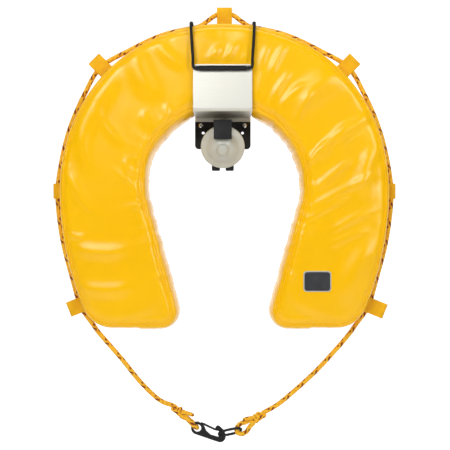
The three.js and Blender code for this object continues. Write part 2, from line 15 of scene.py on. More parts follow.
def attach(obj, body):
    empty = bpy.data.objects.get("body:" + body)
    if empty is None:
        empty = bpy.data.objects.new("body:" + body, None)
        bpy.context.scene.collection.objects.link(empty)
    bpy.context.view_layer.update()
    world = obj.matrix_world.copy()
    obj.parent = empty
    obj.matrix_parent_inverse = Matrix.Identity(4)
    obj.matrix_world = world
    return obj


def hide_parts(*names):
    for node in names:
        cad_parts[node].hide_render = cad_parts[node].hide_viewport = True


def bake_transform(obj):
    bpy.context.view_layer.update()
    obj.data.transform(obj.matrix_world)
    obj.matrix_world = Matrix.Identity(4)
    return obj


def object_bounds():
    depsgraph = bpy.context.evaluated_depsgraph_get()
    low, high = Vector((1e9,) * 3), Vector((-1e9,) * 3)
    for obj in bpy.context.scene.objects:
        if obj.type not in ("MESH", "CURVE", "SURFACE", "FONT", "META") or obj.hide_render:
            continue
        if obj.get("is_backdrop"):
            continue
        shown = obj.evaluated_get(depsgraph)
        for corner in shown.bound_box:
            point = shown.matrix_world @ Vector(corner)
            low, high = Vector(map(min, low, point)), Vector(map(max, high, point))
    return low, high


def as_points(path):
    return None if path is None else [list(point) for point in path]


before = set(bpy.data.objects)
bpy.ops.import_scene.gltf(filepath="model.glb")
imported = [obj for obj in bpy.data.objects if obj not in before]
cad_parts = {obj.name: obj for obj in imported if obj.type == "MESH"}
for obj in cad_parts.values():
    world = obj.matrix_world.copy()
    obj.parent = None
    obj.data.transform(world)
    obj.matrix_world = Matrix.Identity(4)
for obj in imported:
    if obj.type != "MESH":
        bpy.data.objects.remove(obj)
CAD_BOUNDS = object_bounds()

# ---- dimensions the looks share with the CAD model ----

BUOY_SIDE = 0.003  # the buoy hangs this far to the right of the bracket's middle
RIM_DEPTH = 0.057
BUOY_BACK = 0.008
BUOY_FRONT = 0.106
ARC_Z = -0.182
OUTER_RX = 0.287
OUTER_RZ = 0.291
SHOULDER = 0.0035  # how much fuller than an ellipse the top corners are
SIDE_R = 0.532
TOE_OUTER_R = 0.054
TOE_INNER_R = 0.027
LEG_END_Z = -0.421
HOLE_Z = -0.171
HOLE_R = 0.139
LEG_SPLAY = math.radians(15.3)
ROPE_R = 0.004
CORD_R = 0.0025

# right half of the grab line, (x, z) about the buoy's own centre line
GRAB_LINE = [
    (0.0, 0.134), (0.015, 0.132), (0.031, 0.1206), (0.042, 0.1134), (0.052, 0.1098),
    (0.064, 0.1079), (0.112, 0.096), (0.172, 0.068), (0.221, 0.0385), (0.250, -0.010),
    (0.275, -0.068), (0.290, -0.125), (0.2975, -0.182), (0.294, -0.235), (0.2855, -0.284),
    (0.272, -0.335), (0.2585, -0.382), (0.2495, -0.399), (0.2385, -0.414), (0.2307, -0.4248),
]
TAIL_LEFT = [
    (-0.2263, -0.4312), (-0.2153, -0.444), (-0.1827, -0.4815), (-0.147, -0.525),
    (-0.1135, -0.5555),
]
TAIL_RIGHT = [
    (0.2263, -0.4312), (0.218, -0.4418), (0.199, -0.4639), (0.161, -0.5045), (0.118, -0.5435),
    (0.093, -0.5635),
]
HOOK_EYE = (-0.0482, -0.6041)
HOOK_TILT = math.radians(18)
LEFT_UP = (-0.731, 0.682)
LEFT_BEND = (HOOK_EYE[0] + 0.0008 * LEFT_UP[0], HOOK_EYE[1] + 0.0008 * LEFT_UP[1])
RIGHT_UP = (0.8, 0.6)
LINK_BAR = (0.0296, -0.6069)
LINK_MIDDLE = (0.0099, -0.611)
LINK_TURN = math.radians(12.4)
LINK_TILT = math.radians(56)
LINK_HALF = 0.0222
LINK_HALF_WIDTH = 0.013
LINK_STOCK = 0.004
LINK_RADIUS = 0.0023  # a little more than half the stock: the moulding is plump
LINK_SQUARENESS = 0.85  # 1 is an ellipse, less is squarer

# right half of the shock cord, (x, depth, z), from its knot to the bar in front
SHOCK_CORD = [
    (0.040, -0.006, 0.0574), (0.0405, -0.006, 0.066), (0.046, -0.004, 0.088),
    (0.0515, -0.001, 0.0995), (0.0543, 0.006, 0.1065), (0.055, 0.016, 0.1106),
    (0.055, 0.034, 0.1148), (0.055, 0.048, 0.1167), (0.055, 0.058, 0.117),
    (0.055, 0.070, 0.1154), (0.055, 0.086, 0.1119), (0.055, 0.097, 0.1097),
    (0.055, 0.104, 0.1082), (0.0549, 0.1088, 0.1058), (0.0547, 0.1119, 0.1005),
    (0.053, 0.1145, 0.070), (0.0512, 0.1174, 0.043), (0.0512, 0.1182, 0.034),
    (0.050, 0.1182, 0.0292), (0.045, 0.1182, 0.0274), (0.039, 0.1182, 0.0274),
]
CORD_BAR = (0.0, 0.1182, 0.0274)

LIGHT_PLACE = Matrix.Translation((0, -0.045, -0.1016)) @ Matrix.Rotation(math.radians(200), 4, "X")


# ---- camera, lights and backdrop ----

CAMERA_PLACE = (0.004, -1.758, -0.2422)
SENSOR_WIDTH = 36.0  # millimetres, as is the focal length
FOCAL_LENGTH = 76.3
FLOOR_Z = -0.95
FLOOR_START = -3.0
FLOOR_END = 2.2  # where the sweep starts to rise
FLOOR_HALF_WIDTH = 7
SWEEP_R = 0.6
SWEEP_STEPS = 12
SWEEP_TOP = 3.0


def add_object(name, data):
    obj = bpy.data.objects.new(name, data)
    bpy.context.scene.collection.objects.link(obj)
    return obj


def add_camera():
    data = bpy.data.cameras.new("camera")
    data.sensor_width = SENSOR_WIDTH
    data.lens = FOCAL_LENGTH
    camera = add_object("camera", data)
    camera.location = CAMERA_PLACE
    camera.rotation_euler = (math.radians(90), 0, 0)
    bpy.context.scene.camera = camera


def add_area_light(name, place, target, size, power):
    data = bpy.data.lights.new(name, "AREA")
    data.shape = "RECTANGLE"
    data.size, data.size_y = size
    data.energy = power
    light = add_object(name, data)
    light.location = place
    direction = Vector(target) - Vector(place)
    light.rotation_euler = direction.to_track_quat("-Z", "Y").to_euler()


def add_lights():
    middle = (0, -0.05, -0.2)
    add_area_light("key_left", (-0.85, -2.25, 0.95), middle, (1.2, 1.0), 34)
    add_area_light("fill_right", (1.3, -2.15, 0.4), middle, (0.7, 1.2), 18)
    add_area_light("top", (0.2, -0.6, 1.9), middle, (1.6, 0.7), 12)
    bpy.context.scene.world = studio_world()
    bpy.context.scene.view_settings.view_transform = "Standard"


def studio_world():
    """A white room behind the lifebuoy, dark on the side the front faces."""
    world = bpy.data.worlds.new("studio")
    world.use_nodes = True
    tree = world.node_tree
    background = tree.nodes["Background"]
    background.inputs["Color"].default_value = (1, 1, 1, 1)
    source = tree.nodes.new("ShaderNodeTexCoord")
    direction = tree.nodes.new("ShaderNodeSeparateXYZ")
    tree.links.new(source.outputs["Generated"], direction.inputs["Vector"])
    strength = map_range(tree, direction.outputs["Y"], (-0.4, 0.5), (0.05, 0.8))
    tree.links.new(strength, background.inputs["Strength"])
    return world


def add_floor():
    """A pale sweep: floor in front, curving up behind the lifebuoy."""
    curve = [(FLOOR_START, FLOOR_Z), (FLOOR_END, FLOOR_Z)]
    for step in range(1, SWEEP_STEPS + 1):
        angle = math.radians(90 * step / SWEEP_STEPS)
        rise = SWEEP_R * (1 - math.cos(angle))
        curve.append((FLOOR_END + SWEEP_R * math.sin(angle), FLOOR_Z + rise))
    curve.append((FLOOR_END + SWEEP_R, SWEEP_TOP))
    vertices = [(x, y, z) for y, z in curve for x in (-FLOOR_HALF_WIDTH, FLOOR_HALF_WIDTH)]
    faces = [(2 * i, 2 * i + 1, 2 * i + 3, 2 * i + 2) for i in range(len(curve) - 1)]
    floor = mesh_object("floor", vertices, faces)
    floor.data.materials.append(floor_material())
    floor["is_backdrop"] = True


def floor_material():
    """Pale paper, lit evenly where it rises behind the lifebuoy."""
    mat, tree, shader = new_material("studio_floor", (0.86, 0.86, 0.86), 0.8, specular=0.1)
    tint(tree, shader, noise(tree, 3, 2), (0.84, 0.84, 0.84), (0.88, 0.88, 0.88))
    place = tree.nodes.new("ShaderNodeSeparateXYZ")
    tree.links.new(coordinates(tree), place.inputs["Vector"])
    glow = map_range(tree, place.outputs["Y"], (0.3, 1.2), (0.08, 0.62))
    shader.inputs["Emission Color"].default_value = (1, 1, 1, 1)
    tree.links.new(glow, shader.inputs["Emission Strength"])
    return mat


# ---- materials ----


def new_material(name, colour, roughness, metallic=0.0, specular=None):
    mat = bpy.data.materials.new(name)
    mat.use_nodes = True
    tree = mat.node_tree
    shader = tree.nodes["Principled BSDF"]
    shader.inputs["Base Color"].default_value = (*colour, 1)
    shader.inputs["Roughness"].default_value = roughness
    shader.inputs["Metallic"].default_value = metallic
    if specular is not None:
        shader.inputs["Specular IOR Level"].default_value = specular
    return mat, tree, shader


def coordinates(tree, stretch=(1, 1, 1)):
    """Object coordinates, stretched: they don't depend on UVs and move with the piece."""
    source = tree.nodes.new("ShaderNodeTexCoord")
    mapping = tree.nodes.new("ShaderNodeMapping")
    mapping.inputs["Scale"].default_value = stretch
    tree.links.new(source.outputs["Object"], mapping.inputs["Vector"])
    return mapping.outputs["Vector"]


def noise(tree, scale, detail=3.0, vector=None):
    node = tree.nodes.new("ShaderNodeTexNoise")
    node.inputs["Scale"].default_value = scale
    node.inputs["Detail"].default_value = detail
    tree.links.new(vector or coordinates(tree), node.inputs["Vector"])
    return node.outputs["Fac"]


def wave(tree, scale, direction):
    node = tree.nodes.new("ShaderNodeTexWave")
    node.bands_direction = direction
    node.inputs["Scale"].default_value = scale
    node.inputs["Distortion"].default_value = 0.0
    tree.links.new(coordinates(tree), node.inputs["Vector"])
    return node.outputs["Fac"]


def math_node(tree, operation, a, b):
    node = tree.nodes.new("ShaderNodeMath")
    node.operation = operation
    for value, socket in zip((a, b), node.inputs):
        if isinstance(value, (int, float)):
            socket.default_value = value
        else:
            tree.links.new(value, socket)
    return node.outputs["Value"]


def blend_colours(tree, amount, low, high):
    ramp = tree.nodes.new("ShaderNodeValToRGB")
    ramp.color_ramp.elements[0].position = 0.3
    ramp.color_ramp.elements[1].position = 0.7
    ramp.color_ramp.elements[0].color = (*low, 1)
    ramp.color_ramp.elements[1].color = (*high, 1)
    tree.links.new(amount, ramp.inputs["Fac"])
    return ramp.outputs["Color"]


def tint(tree, shader, amount, low, high):
    tree.links.new(blend_colours(tree, amount, low, high), shader.inputs["Base Color"])


def map_range(tree, value, source, target):
    node = tree.nodes.new("ShaderNodeMapRange")
    node.inputs["From Min"].default_value, node.inputs["From Max"].default_value = source
    node.inputs["To Min"].default_value, node.inputs["To Max"].default_value = target
    tree.links.new(value, node.inputs["Value"])
    return node.outputs["Result"]


def vary_roughness(tree, shader, amount, low, high):
    tree.links.new(map_range(tree, amount, (0, 1), (low, high)), shader.inputs["Roughness"])


def add_bump(tree, shader, height, distance, strength=1.0):
    node = tree.nodes.new("ShaderNodeBump")
    node.inputs["Distance"].default_value = distance
    node.inputs["Strength"].default_value = strength
    tree.links.new(height, node.inputs["Height"])
    previous = shader.inputs["Normal"].links
    if previous:
        tree.links.new(previous[0].from_socket, node.inputs["Normal"])
    tree.links.new(node.outputs["Normal"], shader.inputs["Normal"])


def attribute(tree, name):
    node = tree.nodes.new("ShaderNodeAttribute")
    node.attribute_name = name
    return node.outputs["Fac"]


def cover_material():
    """Glossy PVC-coated fabric: the woven base shows faintly through the coating."""
    mat, tree, shader = new_material("cover_pvc", (0.95, 0.53, 0.001), 0.24, specular=0.4)
    tint(tree, shader, noise(tree, 9, 4), (0.94, 0.50, 0.0004), (0.97, 0.53, 0.001))
    vary_roughness(tree, shader, noise(tree, 30, 5), 0.19, 0.27)
    threads = math_node(tree, "ADD", wave(tree, 260, "X"), wave(tree, 260, "Z"))
    add_bump(tree, shader, threads, 0.00004, 0.5)
    add_bump(tree, shader, noise(tree, 45, 2), 0.0006, 0.2)
    return mat


def rope_material():
    """Orange and yellow braid with dark red tracer yarns."""
    mat, tree, shader = new_material("rope_braid", (0.80, 0.42, 0.01), 0.75, specular=0.2)
    body = blend_colours(tree, noise(tree, 320, 3), (0.84, 0.31, 0.015), (0.95, 0.62, 0.04))
    mix = tree.nodes.new("ShaderNodeMix")
    mix.data_type = "RGBA"
    tree.links.new(attribute(tree, "tracer"), mix.inputs["Factor"])
    tree.links.new(body, mix.inputs["A"])
    mix.inputs["B"].default_value = (0.20, 0.02, 0.01, 1)
    tree.links.new(mix.outputs["Result"], shader.inputs["Base Color"])
    add_bump(tree, shader, noise(tree, 1500, 2), 0.0003, 0.5)
    return mat


def webbing_material():
    mat, tree, shader = new_material("webbing_weave", (0.86, 0.44, 0.003), 0.6, specular=0.2)
    tint(tree, shader, noise(tree, 60, 4), (0.80, 0.39, 0.002), (0.90, 0.48, 0.005))
    weave = math_node(tree, "MULTIPLY", wave(tree, 150, "X"), wave(tree, 150, "Z"))
    add_bump(tree, shader, weave, 0.0002, 0.6)
    return mat


def thread_material():
    mat, tree, shader = new_material("sewing_thread", (0.86, 0.42, 0.02), 0.6)
    tint(tree, shader, noise(tree, 400, 2), (0.78, 0.34, 0.01), (0.93, 0.55, 0.08))
    add_bump(tree, shader, wave(tree, 900, "DIAGONAL"), 0.0001, 0.6)
    return mat


def plastic_material(name, colour, roughness):
    """Moulded plastic: a fine spark-eroded grain and slight wear."""
    mat, tree, shader = new_material(name, colour, roughness, specular=0.3)
    lighter = tuple(min(1.0, c * 1.5 + 0.002) for c in colour)
    tint(tree, shader, noise(tree, 45, 6), colour, lighter)
    vary_roughness(tree, shader, noise(tree, 120, 4), roughness - 0.08, roughness + 0.1)
    add_bump(tree, shader, noise(tree, 1400, 2), 0.0001, 0.4)
    return mat


def steel_material():
    """Satin stainless sheet, brushed along the bracket's width."""
    mat, tree, shader = new_material("satin_steel", (0.76, 0.75, 0.68), 0.42, 1.0)
    brush = noise(tree, 60, 6, coordinates(tree, (0.6, 30, 30)))
    tint(tree, shader, brush, (0.74, 0.73, 0.66), (0.78, 0.77, 0.70))
    vary_roughness(tree, shader, brush, 0.40, 0.45)
    add_bump(tree, shader, brush, 0.00005, 0.06)
    return mat


def bright_metal_material():
    mat, tree, shader = new_material("turned_stainless", (0.75, 0.75, 0.76), 0.22, 1.0)
    tint(tree, shader, noise(tree, 300, 4), (0.62, 0.62, 0.63), (0.86, 0.86, 0.87))
    vary_roughness(tree, shader, noise(tree, 500, 3), 0.15, 0.35)
    return mat


def elastic_material():
    """Black braided cover over rubber strands."""
    mat, tree, shader = new_material("elastic_braid", (0.006, 0.006, 0.007), 0.7, specular=0.3)
    tint(tree, shader, noise(tree, 700, 2), (0.003, 0.003, 0.004), (0.014, 0.014, 0.016))
    add_bump(tree, shader, noise(tree, 2200, 2), 0.0002, 0.6)
    return mat


def lens_material():
    """Milky, slightly green polycarbonate."""
    mat, tree, shader = new_material("milky_lens", (0.56, 0.57, 0.50), 0.3)
    tint(tree, shader, noise(tree, 18, 2), (0.56, 0.58, 0.50), (0.62, 0.62, 0.56))
    vary_roughness(tree, shader, noise(tree, 60, 2), 0.26, 0.36)
    shader.inputs["Transmission Weight"].default_value = 0.12
    shader.inputs["IOR"].default_value = 1.5
    return mat


def plain_material(name, low, high, roughness, scale):
    mat, tree, shader = new_material(name, low, roughness)
    tint(tree, shader, noise(tree, scale, 4), low, high)
    add_bump(tree, shader, noise(tree, scale * 8, 2), 0.0001, 0.4)
    return mat


MATERIALS = {
    "cover": cover_material(),
    "rope": rope_material(),
    "webbing": webbing_material(),
    "thread": thread_material(),
    "black_plastic": plastic_material("black_moulding", (0.006, 0.006, 0.007), 0.45),
    "steel": steel_material(),
    "bright_metal": bright_metal_material(),
    "elastic": elastic_material(),
    "lens": lens_material(),
    "patch": plain_material("patch_print", (0.020, 0.022, 0.026), (0.032, 0.034, 0.038), 0.4, 90),
    "patch_edge": plain_material("patch_border", (0.42, 0.42, 0.41), (0.5, 0.5, 0.49), 0.4, 90),
    "board": plain_material("circuit_board", (0.02, 0.14, 0.06), (0.03, 0.2, 0.09), 0.5, 200),
    "cell": plain_material("cell_sleeve", (0.02, 0.07, 0.22), (0.03, 0.1, 0.3), 0.4, 80),
}


# ---- mesh helpers ----


def mesh_object(name, vertices, faces):
    mesh = bpy.data.meshes.new(name)
    mesh.from_pydata([tuple(v) for v in vertices], [], [tuple(f) for f in faces])
    mesh.validate()
    mesh.update()
    mesh.shade_smooth()
    return add_object(name, mesh)


def finish_piece(obj, body, slot_name, look=None, replaced=()):
    obj.data.materials.clear()
    obj.data.materials.append(MATERIALS[look or slot_name])
    if replaced:
        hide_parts(*replaced)
    if body:
        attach(obj, body)
    return obj


def coords_of(obj):
    co = np.zeros(len(obj.data.vertices) * 3)
    obj.data.vertices.foreach_get("co", co)
    return co.reshape(-1, 3)


def set_coords(obj, co):
    obj.data.vertices.foreach_set("co", np.ascontiguousarray(co, dtype=np.float32).ravel())
    obj.data.update()


def normals_of(obj):
    normals = np.zeros(len(obj.data.vertices) * 3, dtype=np.float32)
    obj.data.vertex_normals.foreach_get("vector", normals)
    return normals.reshape(-1, 3).astype(float)


def apply_modifiers(obj):
    depsgraph = bpy.context.evaluated_depsgraph_get()
    mesh = bpy.data.meshes.new_from_object(obj.evaluated_get(depsgraph))
    obj.modifiers.clear()
    old = obj.data
    obj.data = mesh
    bpy.data.meshes.remove(old)


def subdivide(obj):
    modifier = obj.modifiers.new("subdivision", "SUBSURF")
    modifier.levels = modifier.render_levels = 1
    apply_modifiers(obj)


def joined(name, *objects):
    """One object out of several, all at the origin."""
    mesh = bmesh.new()
    for obj in objects:
        mesh.from_mesh(obj.data)
    target = objects[0]
    mesh.to_mesh(target.data)
    mesh.free()
    for obj in objects[1:]:
        bpy.data.objects.remove(obj)
    target.name = target.data.name = name
    target.data.shade_smooth()
    return target


# ---- smooth lines and tubes ----

SPAN_STEPS = 24  # points between two of a smooth line's given points

def smooth_line(points, spacing):
    """A centripetal Catmull-Rom curve through the points, at an even spacing."""
    p = np.array(points, float)
    padded = np.vstack([2 * p[0] - p[1], p, 2 * p[-1] - p[-2]])
    steps = np.linspace(0, 1, SPAN_STEPS, endpoint=False)[:, None]
    parts = []
    for a, b, c, d in zip(padded, padded[1:], padded[2:], padded[3:]):
        spans = [np.linalg.norm(q - r) ** 0.5 for q, r in ((b, a), (c, b), (d, c))]
        t0, t1, t2, t3 = np.cumsum([0.0] + spans)
        t = t1 + (t2 - t1) * steps
        ab = (t1 - t) / (t1 - t0) * a + (t - t0) / (t1 - t0) * b
        bc = (t2 - t) / (t2 - t1) * b + (t - t1) / (t2 - t1) * c
        cd = (t3 - t) / (t3 - t2) * c + (t - t2) / (t3 - t2) * d
        abc = (t2 - t) / (t2 - t0) * ab + (t - t0) / (t2 - t0) * bc
        bcd = (t3 - t) / (t3 - t1) * bc + (t - t1) / (t3 - t1) * cd
        parts.append((t2 - t) / (t2 - t1) * abc + (t - t1) / (t2 - t1) * bcd)
    line = np.vstack(parts + [padded[-2]])
    return even(line, spacing)


def even(line, spacing):
    along = np.concatenate([[0], np.cumsum(np.linalg.norm(np.diff(line, axis=0), axis=1))])
    count = max(2, int(round(along[-1] / spacing)) + 1)
    at = np.linspace(0, along[-1], count)
    return np.column_stack([np.interp(at, along, line[:, k]) for k in range(3)])


def length_of(line):
    return float(np.linalg.norm(np.diff(line, axis=0), axis=1).sum())


def carried_frames(line):
    """Two unit vectors across the line at each point, carried along without twist."""
    tangents = np.gradient(line, axis=0)
    tangents /= np.linalg.norm(tangents, axis=1)[:, None]
    start = np.array([0.0, 1.0, 0.0])
    if abs(tangents[0] @ start) > 0.9:
        start = np.array([1.0, 0.0, 0.0])
    across = np.zeros_like(line)
    for i, tangent in enumerate(tangents):
        start = start - tangent * (start @ tangent)
        start /= np.linalg.norm(start)
        across[i] = start
    return across, np.cross(tangents, across)


def tube_mesh(name, line, radii, closed=False):
    """A tube about the line. radii has one row a ring and one column a side."""
    rings, sides = radii.shape
    across, other = carried_frames(line)
    angles = (2 * math.pi * np.arange(sides) / sides)[None, :, None]
    ring = np.cos(angles) * across[:, None] + np.sin(angles) * other[:, None]
    points = (line[:, None] + ring * radii[:, :, None]).reshape(-1, 3)
    faces = []
    last = rings if closed else rings - 1
    for i in range(last):
        low, high = i * sides, ((i + 1) % rings) * sides
        for j in range(sides):
            k = (j + 1) % sides
            faces.append((low + j, low + k, high + k, high + j))
    if not closed:
        points = np.vstack([points, line[0], line[-1]])
        first, end = rings * sides, rings * sides + 1
        top = (rings - 1) * sides
        faces += [(first, (j + 1) % sides, j) for j in range(sides)]
        faces += [(end, top + j, top + (j + 1) % sides) for j in range(sides)]
    return mesh_object(name, points, faces)


BRAID_SIDES = 24
STRANDS = 6  # strands that run each way round
STRAND_LENGTH = 0.0056  # along the rope, from one crossing to the next but one
BRAID_STEP = 0.00125
HOLLOW_SHARE = 0.95  # of the rope's radius, between the crossings
CROSSING_SHARE = 0.13  # what a crossing adds to that
ROUNDED_END = (0.55, 0.8, 0.94)


def braid(name, line, radius, phase=0.0):
    """A braided rope: raised crossings, and dark tracer yarns where their strand is on top."""
    along = np.arange(len(line)) * length_of(line) / (len(line) - 1)
    angles = 2 * math.pi * np.arange(BRAID_SIDES) / BRAID_SIDES
    turns = 2 * math.pi * (along / STRAND_LENGTH)[:, None] + phase
    right = STRANDS * angles[None] + turns
    left = STRANDS * angles[None] - turns
    bulge = np.abs(np.cos(right / 2) * np.cos(left / 2))
    radii = radius * (HOLLOW_SHARE + CROSSING_SHARE * bulge)
    for i, share in enumerate(ROUNDED_END):
        radii[i] *= share
        radii[-1 - i] *= share
    obj = tube_mesh(name, line, radii)
    right_strand = np.round(right / (2 * math.pi)).astype(int)
    left_strand = np.round(left / (2 * math.pi)).astype(int)
    right_on_top = (right_strand + left_strand) % 2 == 0
    tracer = np.where(right_on_top, right_strand % STRANDS == 1, left_strand % STRANDS == 4)
    ends = [0.3, 0.3]
    values = np.append(tracer.astype(np.float32).ravel(), ends).astype(np.float32)
    layer = obj.data.attributes.new("tracer", "FLOAT", "POINT")
    layer.data.foreach_set("value", values)
    return obj


def at_rim(x, z, depth=0.0):
    return (x + BUOY_SIDE, -RIM_DEPTH - depth, z)


def along_up(place, up, along, across=0.0, depth=0.0):
    """A point by its distances along and across a tail's end, from the eye's bend."""
    x = place[0] + along * up[0] - across * up[1]
    z = place[1] + along * up[1] + across * up[0]
    return at_rim(x, z, depth)


# ---- rope: grab line, closing line, eyes and knots ----


def add_rope():
    left_end = [along_up(LEFT_BEND, LEFT_UP, a) for a in (0.030, 0.040, 0.0501, 0.0561)]
    right_end = [along_up(LINK_BAR, RIGHT_UP, a) for a in (0.0501, 0.0441, 0.034, 0.024)]
    route = left_end
    route += [at_rim(x, z) for x, z in reversed(TAIL_LEFT)]
    route += [at_rim(-x, z) for x, z in reversed(GRAB_LINE[1:])]
    route += [at_rim(x, z) for x, z in GRAB_LINE]
    route += [at_rim(x, z) for x, z in TAIL_RIGHT]
    route += right_end
    line = smooth_line(route, BRAID_STEP)
    rope = braid("grab_and_closing_line", line, ROPE_R)
    finish_piece(rope, None, "rope", replaced=("grab_line", "tail_left", "tail_right"))
    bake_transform(rope)
    return rope, line, left_end[0]


def eye_route(half, tip, in_depth):
    """Down one leg of an eye, round its tip and up the other; half is (along, off the middle)."""
    loop = [*half, (tip, 0), *[(along, -off) for along, off in reversed(half)]]
    return [(along, 0, off) if in_depth else (along, off, 0) for along, off in loop]


def add_eyes():
    left = [(0.034, 0.0042), (0.026, 0.0044), (0.020, 0.0048), (0.013, 0.0076), (0.005, 0.0075)]
    right = [(0.026, 0.0042), (0.0196, 0.0046), (0.015, 0.0054), (0.007, 0.0086), (-0.003, 0.0074)]
    eyes = []
    for name, place, up, points in (
        ("eye_left", LEFT_BEND, LEFT_UP, eye_route(left, 0, True)),
        ("eye_right", LINK_BAR, RIGHT_UP, eye_route(right, -0.0084, False)),
    ):
        route = [along_up(place, up, *point) for point in points]
        eye = braid(name + "_rope", smooth_line(route, BRAID_STEP), ROPE_R, phase=1.3)
        eyes.append(finish_piece(eye, "closing_line", "rope", replaced=(name,)))
    return eyes


def wrapped_turns(place, up, start, turns, pitch, radius):
    """A rope wound round the tail, each turn leaning a little."""
    points = []
    for i in range(int(turns * 12) + 1):
        angle = 2 * math.pi * i / 12 + 0.4
        along = start + pitch * i / 12 + 0.002 * math.sin(angle)
        points.append(along_up(place, up, along, radius * math.cos(angle), radius * math.sin(angle)))
    return points


def add_knot(name, place, up, start, upper):
    """Rope turned round the two legs; upper is +1 or -1, the side its end sticks out on."""
    turns = wrapped_turns(place, up, start, 3.0, 0.0074, 0.0046)
    coil = braid(name + "_turns", smooth_line(turns, BRAID_STEP), 0.0035, phase=0.5)
    end = [
        along_up(place, up, start + 0.014, upper * 0.0030, 0.0058),
        along_up(place, up, start + 0.007, upper * 0.0068, 0.0064),
        along_up(place, up, start, upper * 0.0100, 0.0052),
        along_up(place, up, start - 0.007, upper * 0.0125, 0.0035),
    ]
    tail = braid(name + "_end", smooth_line(end, BRAID_STEP), 0.0033, phase=2.1)
    leg = [
        along_up(place, up, start - 0.002, upper * -0.002, 0.0042),
        along_up(place, up, start + 0.012, upper * -0.0028, 0.0052),
        along_up(place, up, start + 0.022, upper * -0.0036, 0.0040),
        along_up(place, up, start + 0.031, upper * -0.0058, 0.0020),
    ]
    stub = braid(name + "_stub", smooth_line(leg, BRAID_STEP), 0.0034, phase=3.0)
    knot = joined(name + "_rope", coil, tail, stub)
    return finish_piece(knot, "closing_line", "rope", replaced=(name,))


# ---- plates with rounded edges ----

SAME_PLACE = 1e-6

def rounded_plate(name, outline, holes, near, far, edge, place):
    """A flat shape with rounded edges. The outline is (a, b); place maps (a, b, depth) to a point."""
    curve = bpy.data.curves.new(name, "CURVE")
    curve.dimensions = "2D"
    curve.fill_mode = "BOTH"
    curve.extrude = (far - near) / 2 - edge
    curve.bevel_depth = edge
    curve.bevel_resolution = 3
    curve.offset = -edge
    for loop in [outline, *holes]:
        spline = curve.splines.new("POLY")
        spline.points.add(len(loop) - 1)
        for point, (a, b) in zip(spline.points, loop):
            point.co = (a, b, 0, 1)
        spline.use_cyclic_u = True
    source = add_object(name, curve)
    bpy.context.view_layer.update()
    depsgraph = bpy.context.evaluated_depsgraph_get()
    mesh = bpy.data.meshes.new_from_object(source.evaluated_get(depsgraph))
    bpy.data.objects.remove(source)
    middle = (near + far) / 2
    for vertex in mesh.vertices:
        a, b, depth = vertex.co
        vertex.co = place(a, b, middle + depth)
    obj = add_object(name, mesh)
    outward_normals(obj)
    return obj


def outward_normals(obj):
    mesh = bmesh.new()
    mesh.from_mesh(obj.data)
    bmesh.ops.remove_doubles(mesh, verts=mesh.verts, dist=SAME_PLACE)
    bmesh.ops.recalc_face_normals(mesh, faces=mesh.faces)
    mesh.to_mesh(obj.data)
    mesh.free()
    obj.data.update()


def remesh(obj, size, smoothing):
    modifier = obj.modifiers.new("remesh", "REMESH")
    modifier.mode = "VOXEL"
    modifier.voxel_size = size
    apply_modifiers(obj)
    relax(obj, smoothing)
    obj.data.shade_smooth()


def relax(obj, rounds, share=0.5):
    modifier = obj.modifiers.new("relax", "SMOOTH")
    modifier.factor = share
    modifier.iterations = rounds
    apply_modifiers(obj)


def arc_points(cx, cz, r, start, end, steps):
    angles = [math.radians(start + (end - start) * i / steps) for i in range(steps + 1)]
    return [(cx + r * math.cos(a), cz + r * math.sin(a)) for a in angles]


def front_view(a, b, depth):
    return (a, -depth, b)


# ---- buoy outline ----


def ellipse_arc(cx, cz, rx, rz, start, end, steps):
    angles = np.linspace(start, end, steps + 1)
    return [(cx + rx * math.cos(a), cz + rz * math.sin(a)) for a in angles]


def inner_toe(inset):
    r = TOE_INNER_R - inset
    sin, cos = math.sin(LEG_SPLAY), math.cos(LEG_SPLAY)
    hole_r = HOLE_R + inset
    z = LEG_END_Z + inset + r
    along = (HOLE_Z - (hole_r + r) * sin - z) / cos
    return (hole_r + r) * cos - along * sin, z, r


def shoulder_point(inset, angle):
    """A point of the top half's outline, a little fuller than an ellipse at its corners."""
    fuller = SHOULDER * math.sin(2 * angle) ** 2 - inset
    return (OUTER_RX + fuller) * math.cos(angle), ARC_Z + (OUTER_RZ + fuller) * math.sin(angle)


def outer_half(inset):
    side_r, toe_r = SIDE_R - inset, TOE_OUTER_R - inset
    end_z = LEG_END_Z + inset
    side_x = OUTER_RX - SIDE_R
    turn = math.asin((ARC_Z - end_z - toe_r) / (side_r - toe_r))
    toe_x = side_x + (side_r - toe_r) * math.cos(turn)
    x, z, r = inner_toe(inset)
    quarter = math.pi / 2
    half = [shoulder_point(inset, angle) for angle in np.linspace(quarter, 0, 61)]
    half += ellipse_arc(side_x, ARC_Z, side_r, side_r, 0, -turn, 24)[1:]
    half += ellipse_arc(toe_x, end_z + toe_r, toe_r, toe_r, -turn, -quarter, 16)[1:]
    half += ellipse_arc(x, z, r, r, -quarter, -math.pi - LEG_SPLAY, 12)
    return half


def inner_half(inset):
    x, z, r = inner_toe(inset)
    end = (x - r * math.cos(LEG_SPLAY), z + r * math.sin(LEG_SPLAY))
    hole_r = HOLE_R + inset
    return ellipse_arc(0, HOLE_Z, hole_r, hole_r, math.pi / 2, -LEG_SPLAY, 48) + [end]


def horseshoe(inset):
    """The closed outline, (x, z) about the buoy's centre line: outer edge, then inner edge."""
    outer, inner = outer_half(inset), inner_half(inset)
    loop = [(-x, z) for x, z in reversed(outer)] + outer[1:]
    loop += list(reversed(inner[:-1])) + [(-x, z) for x, z in inner[1:-1]]
    return np.array(loop)


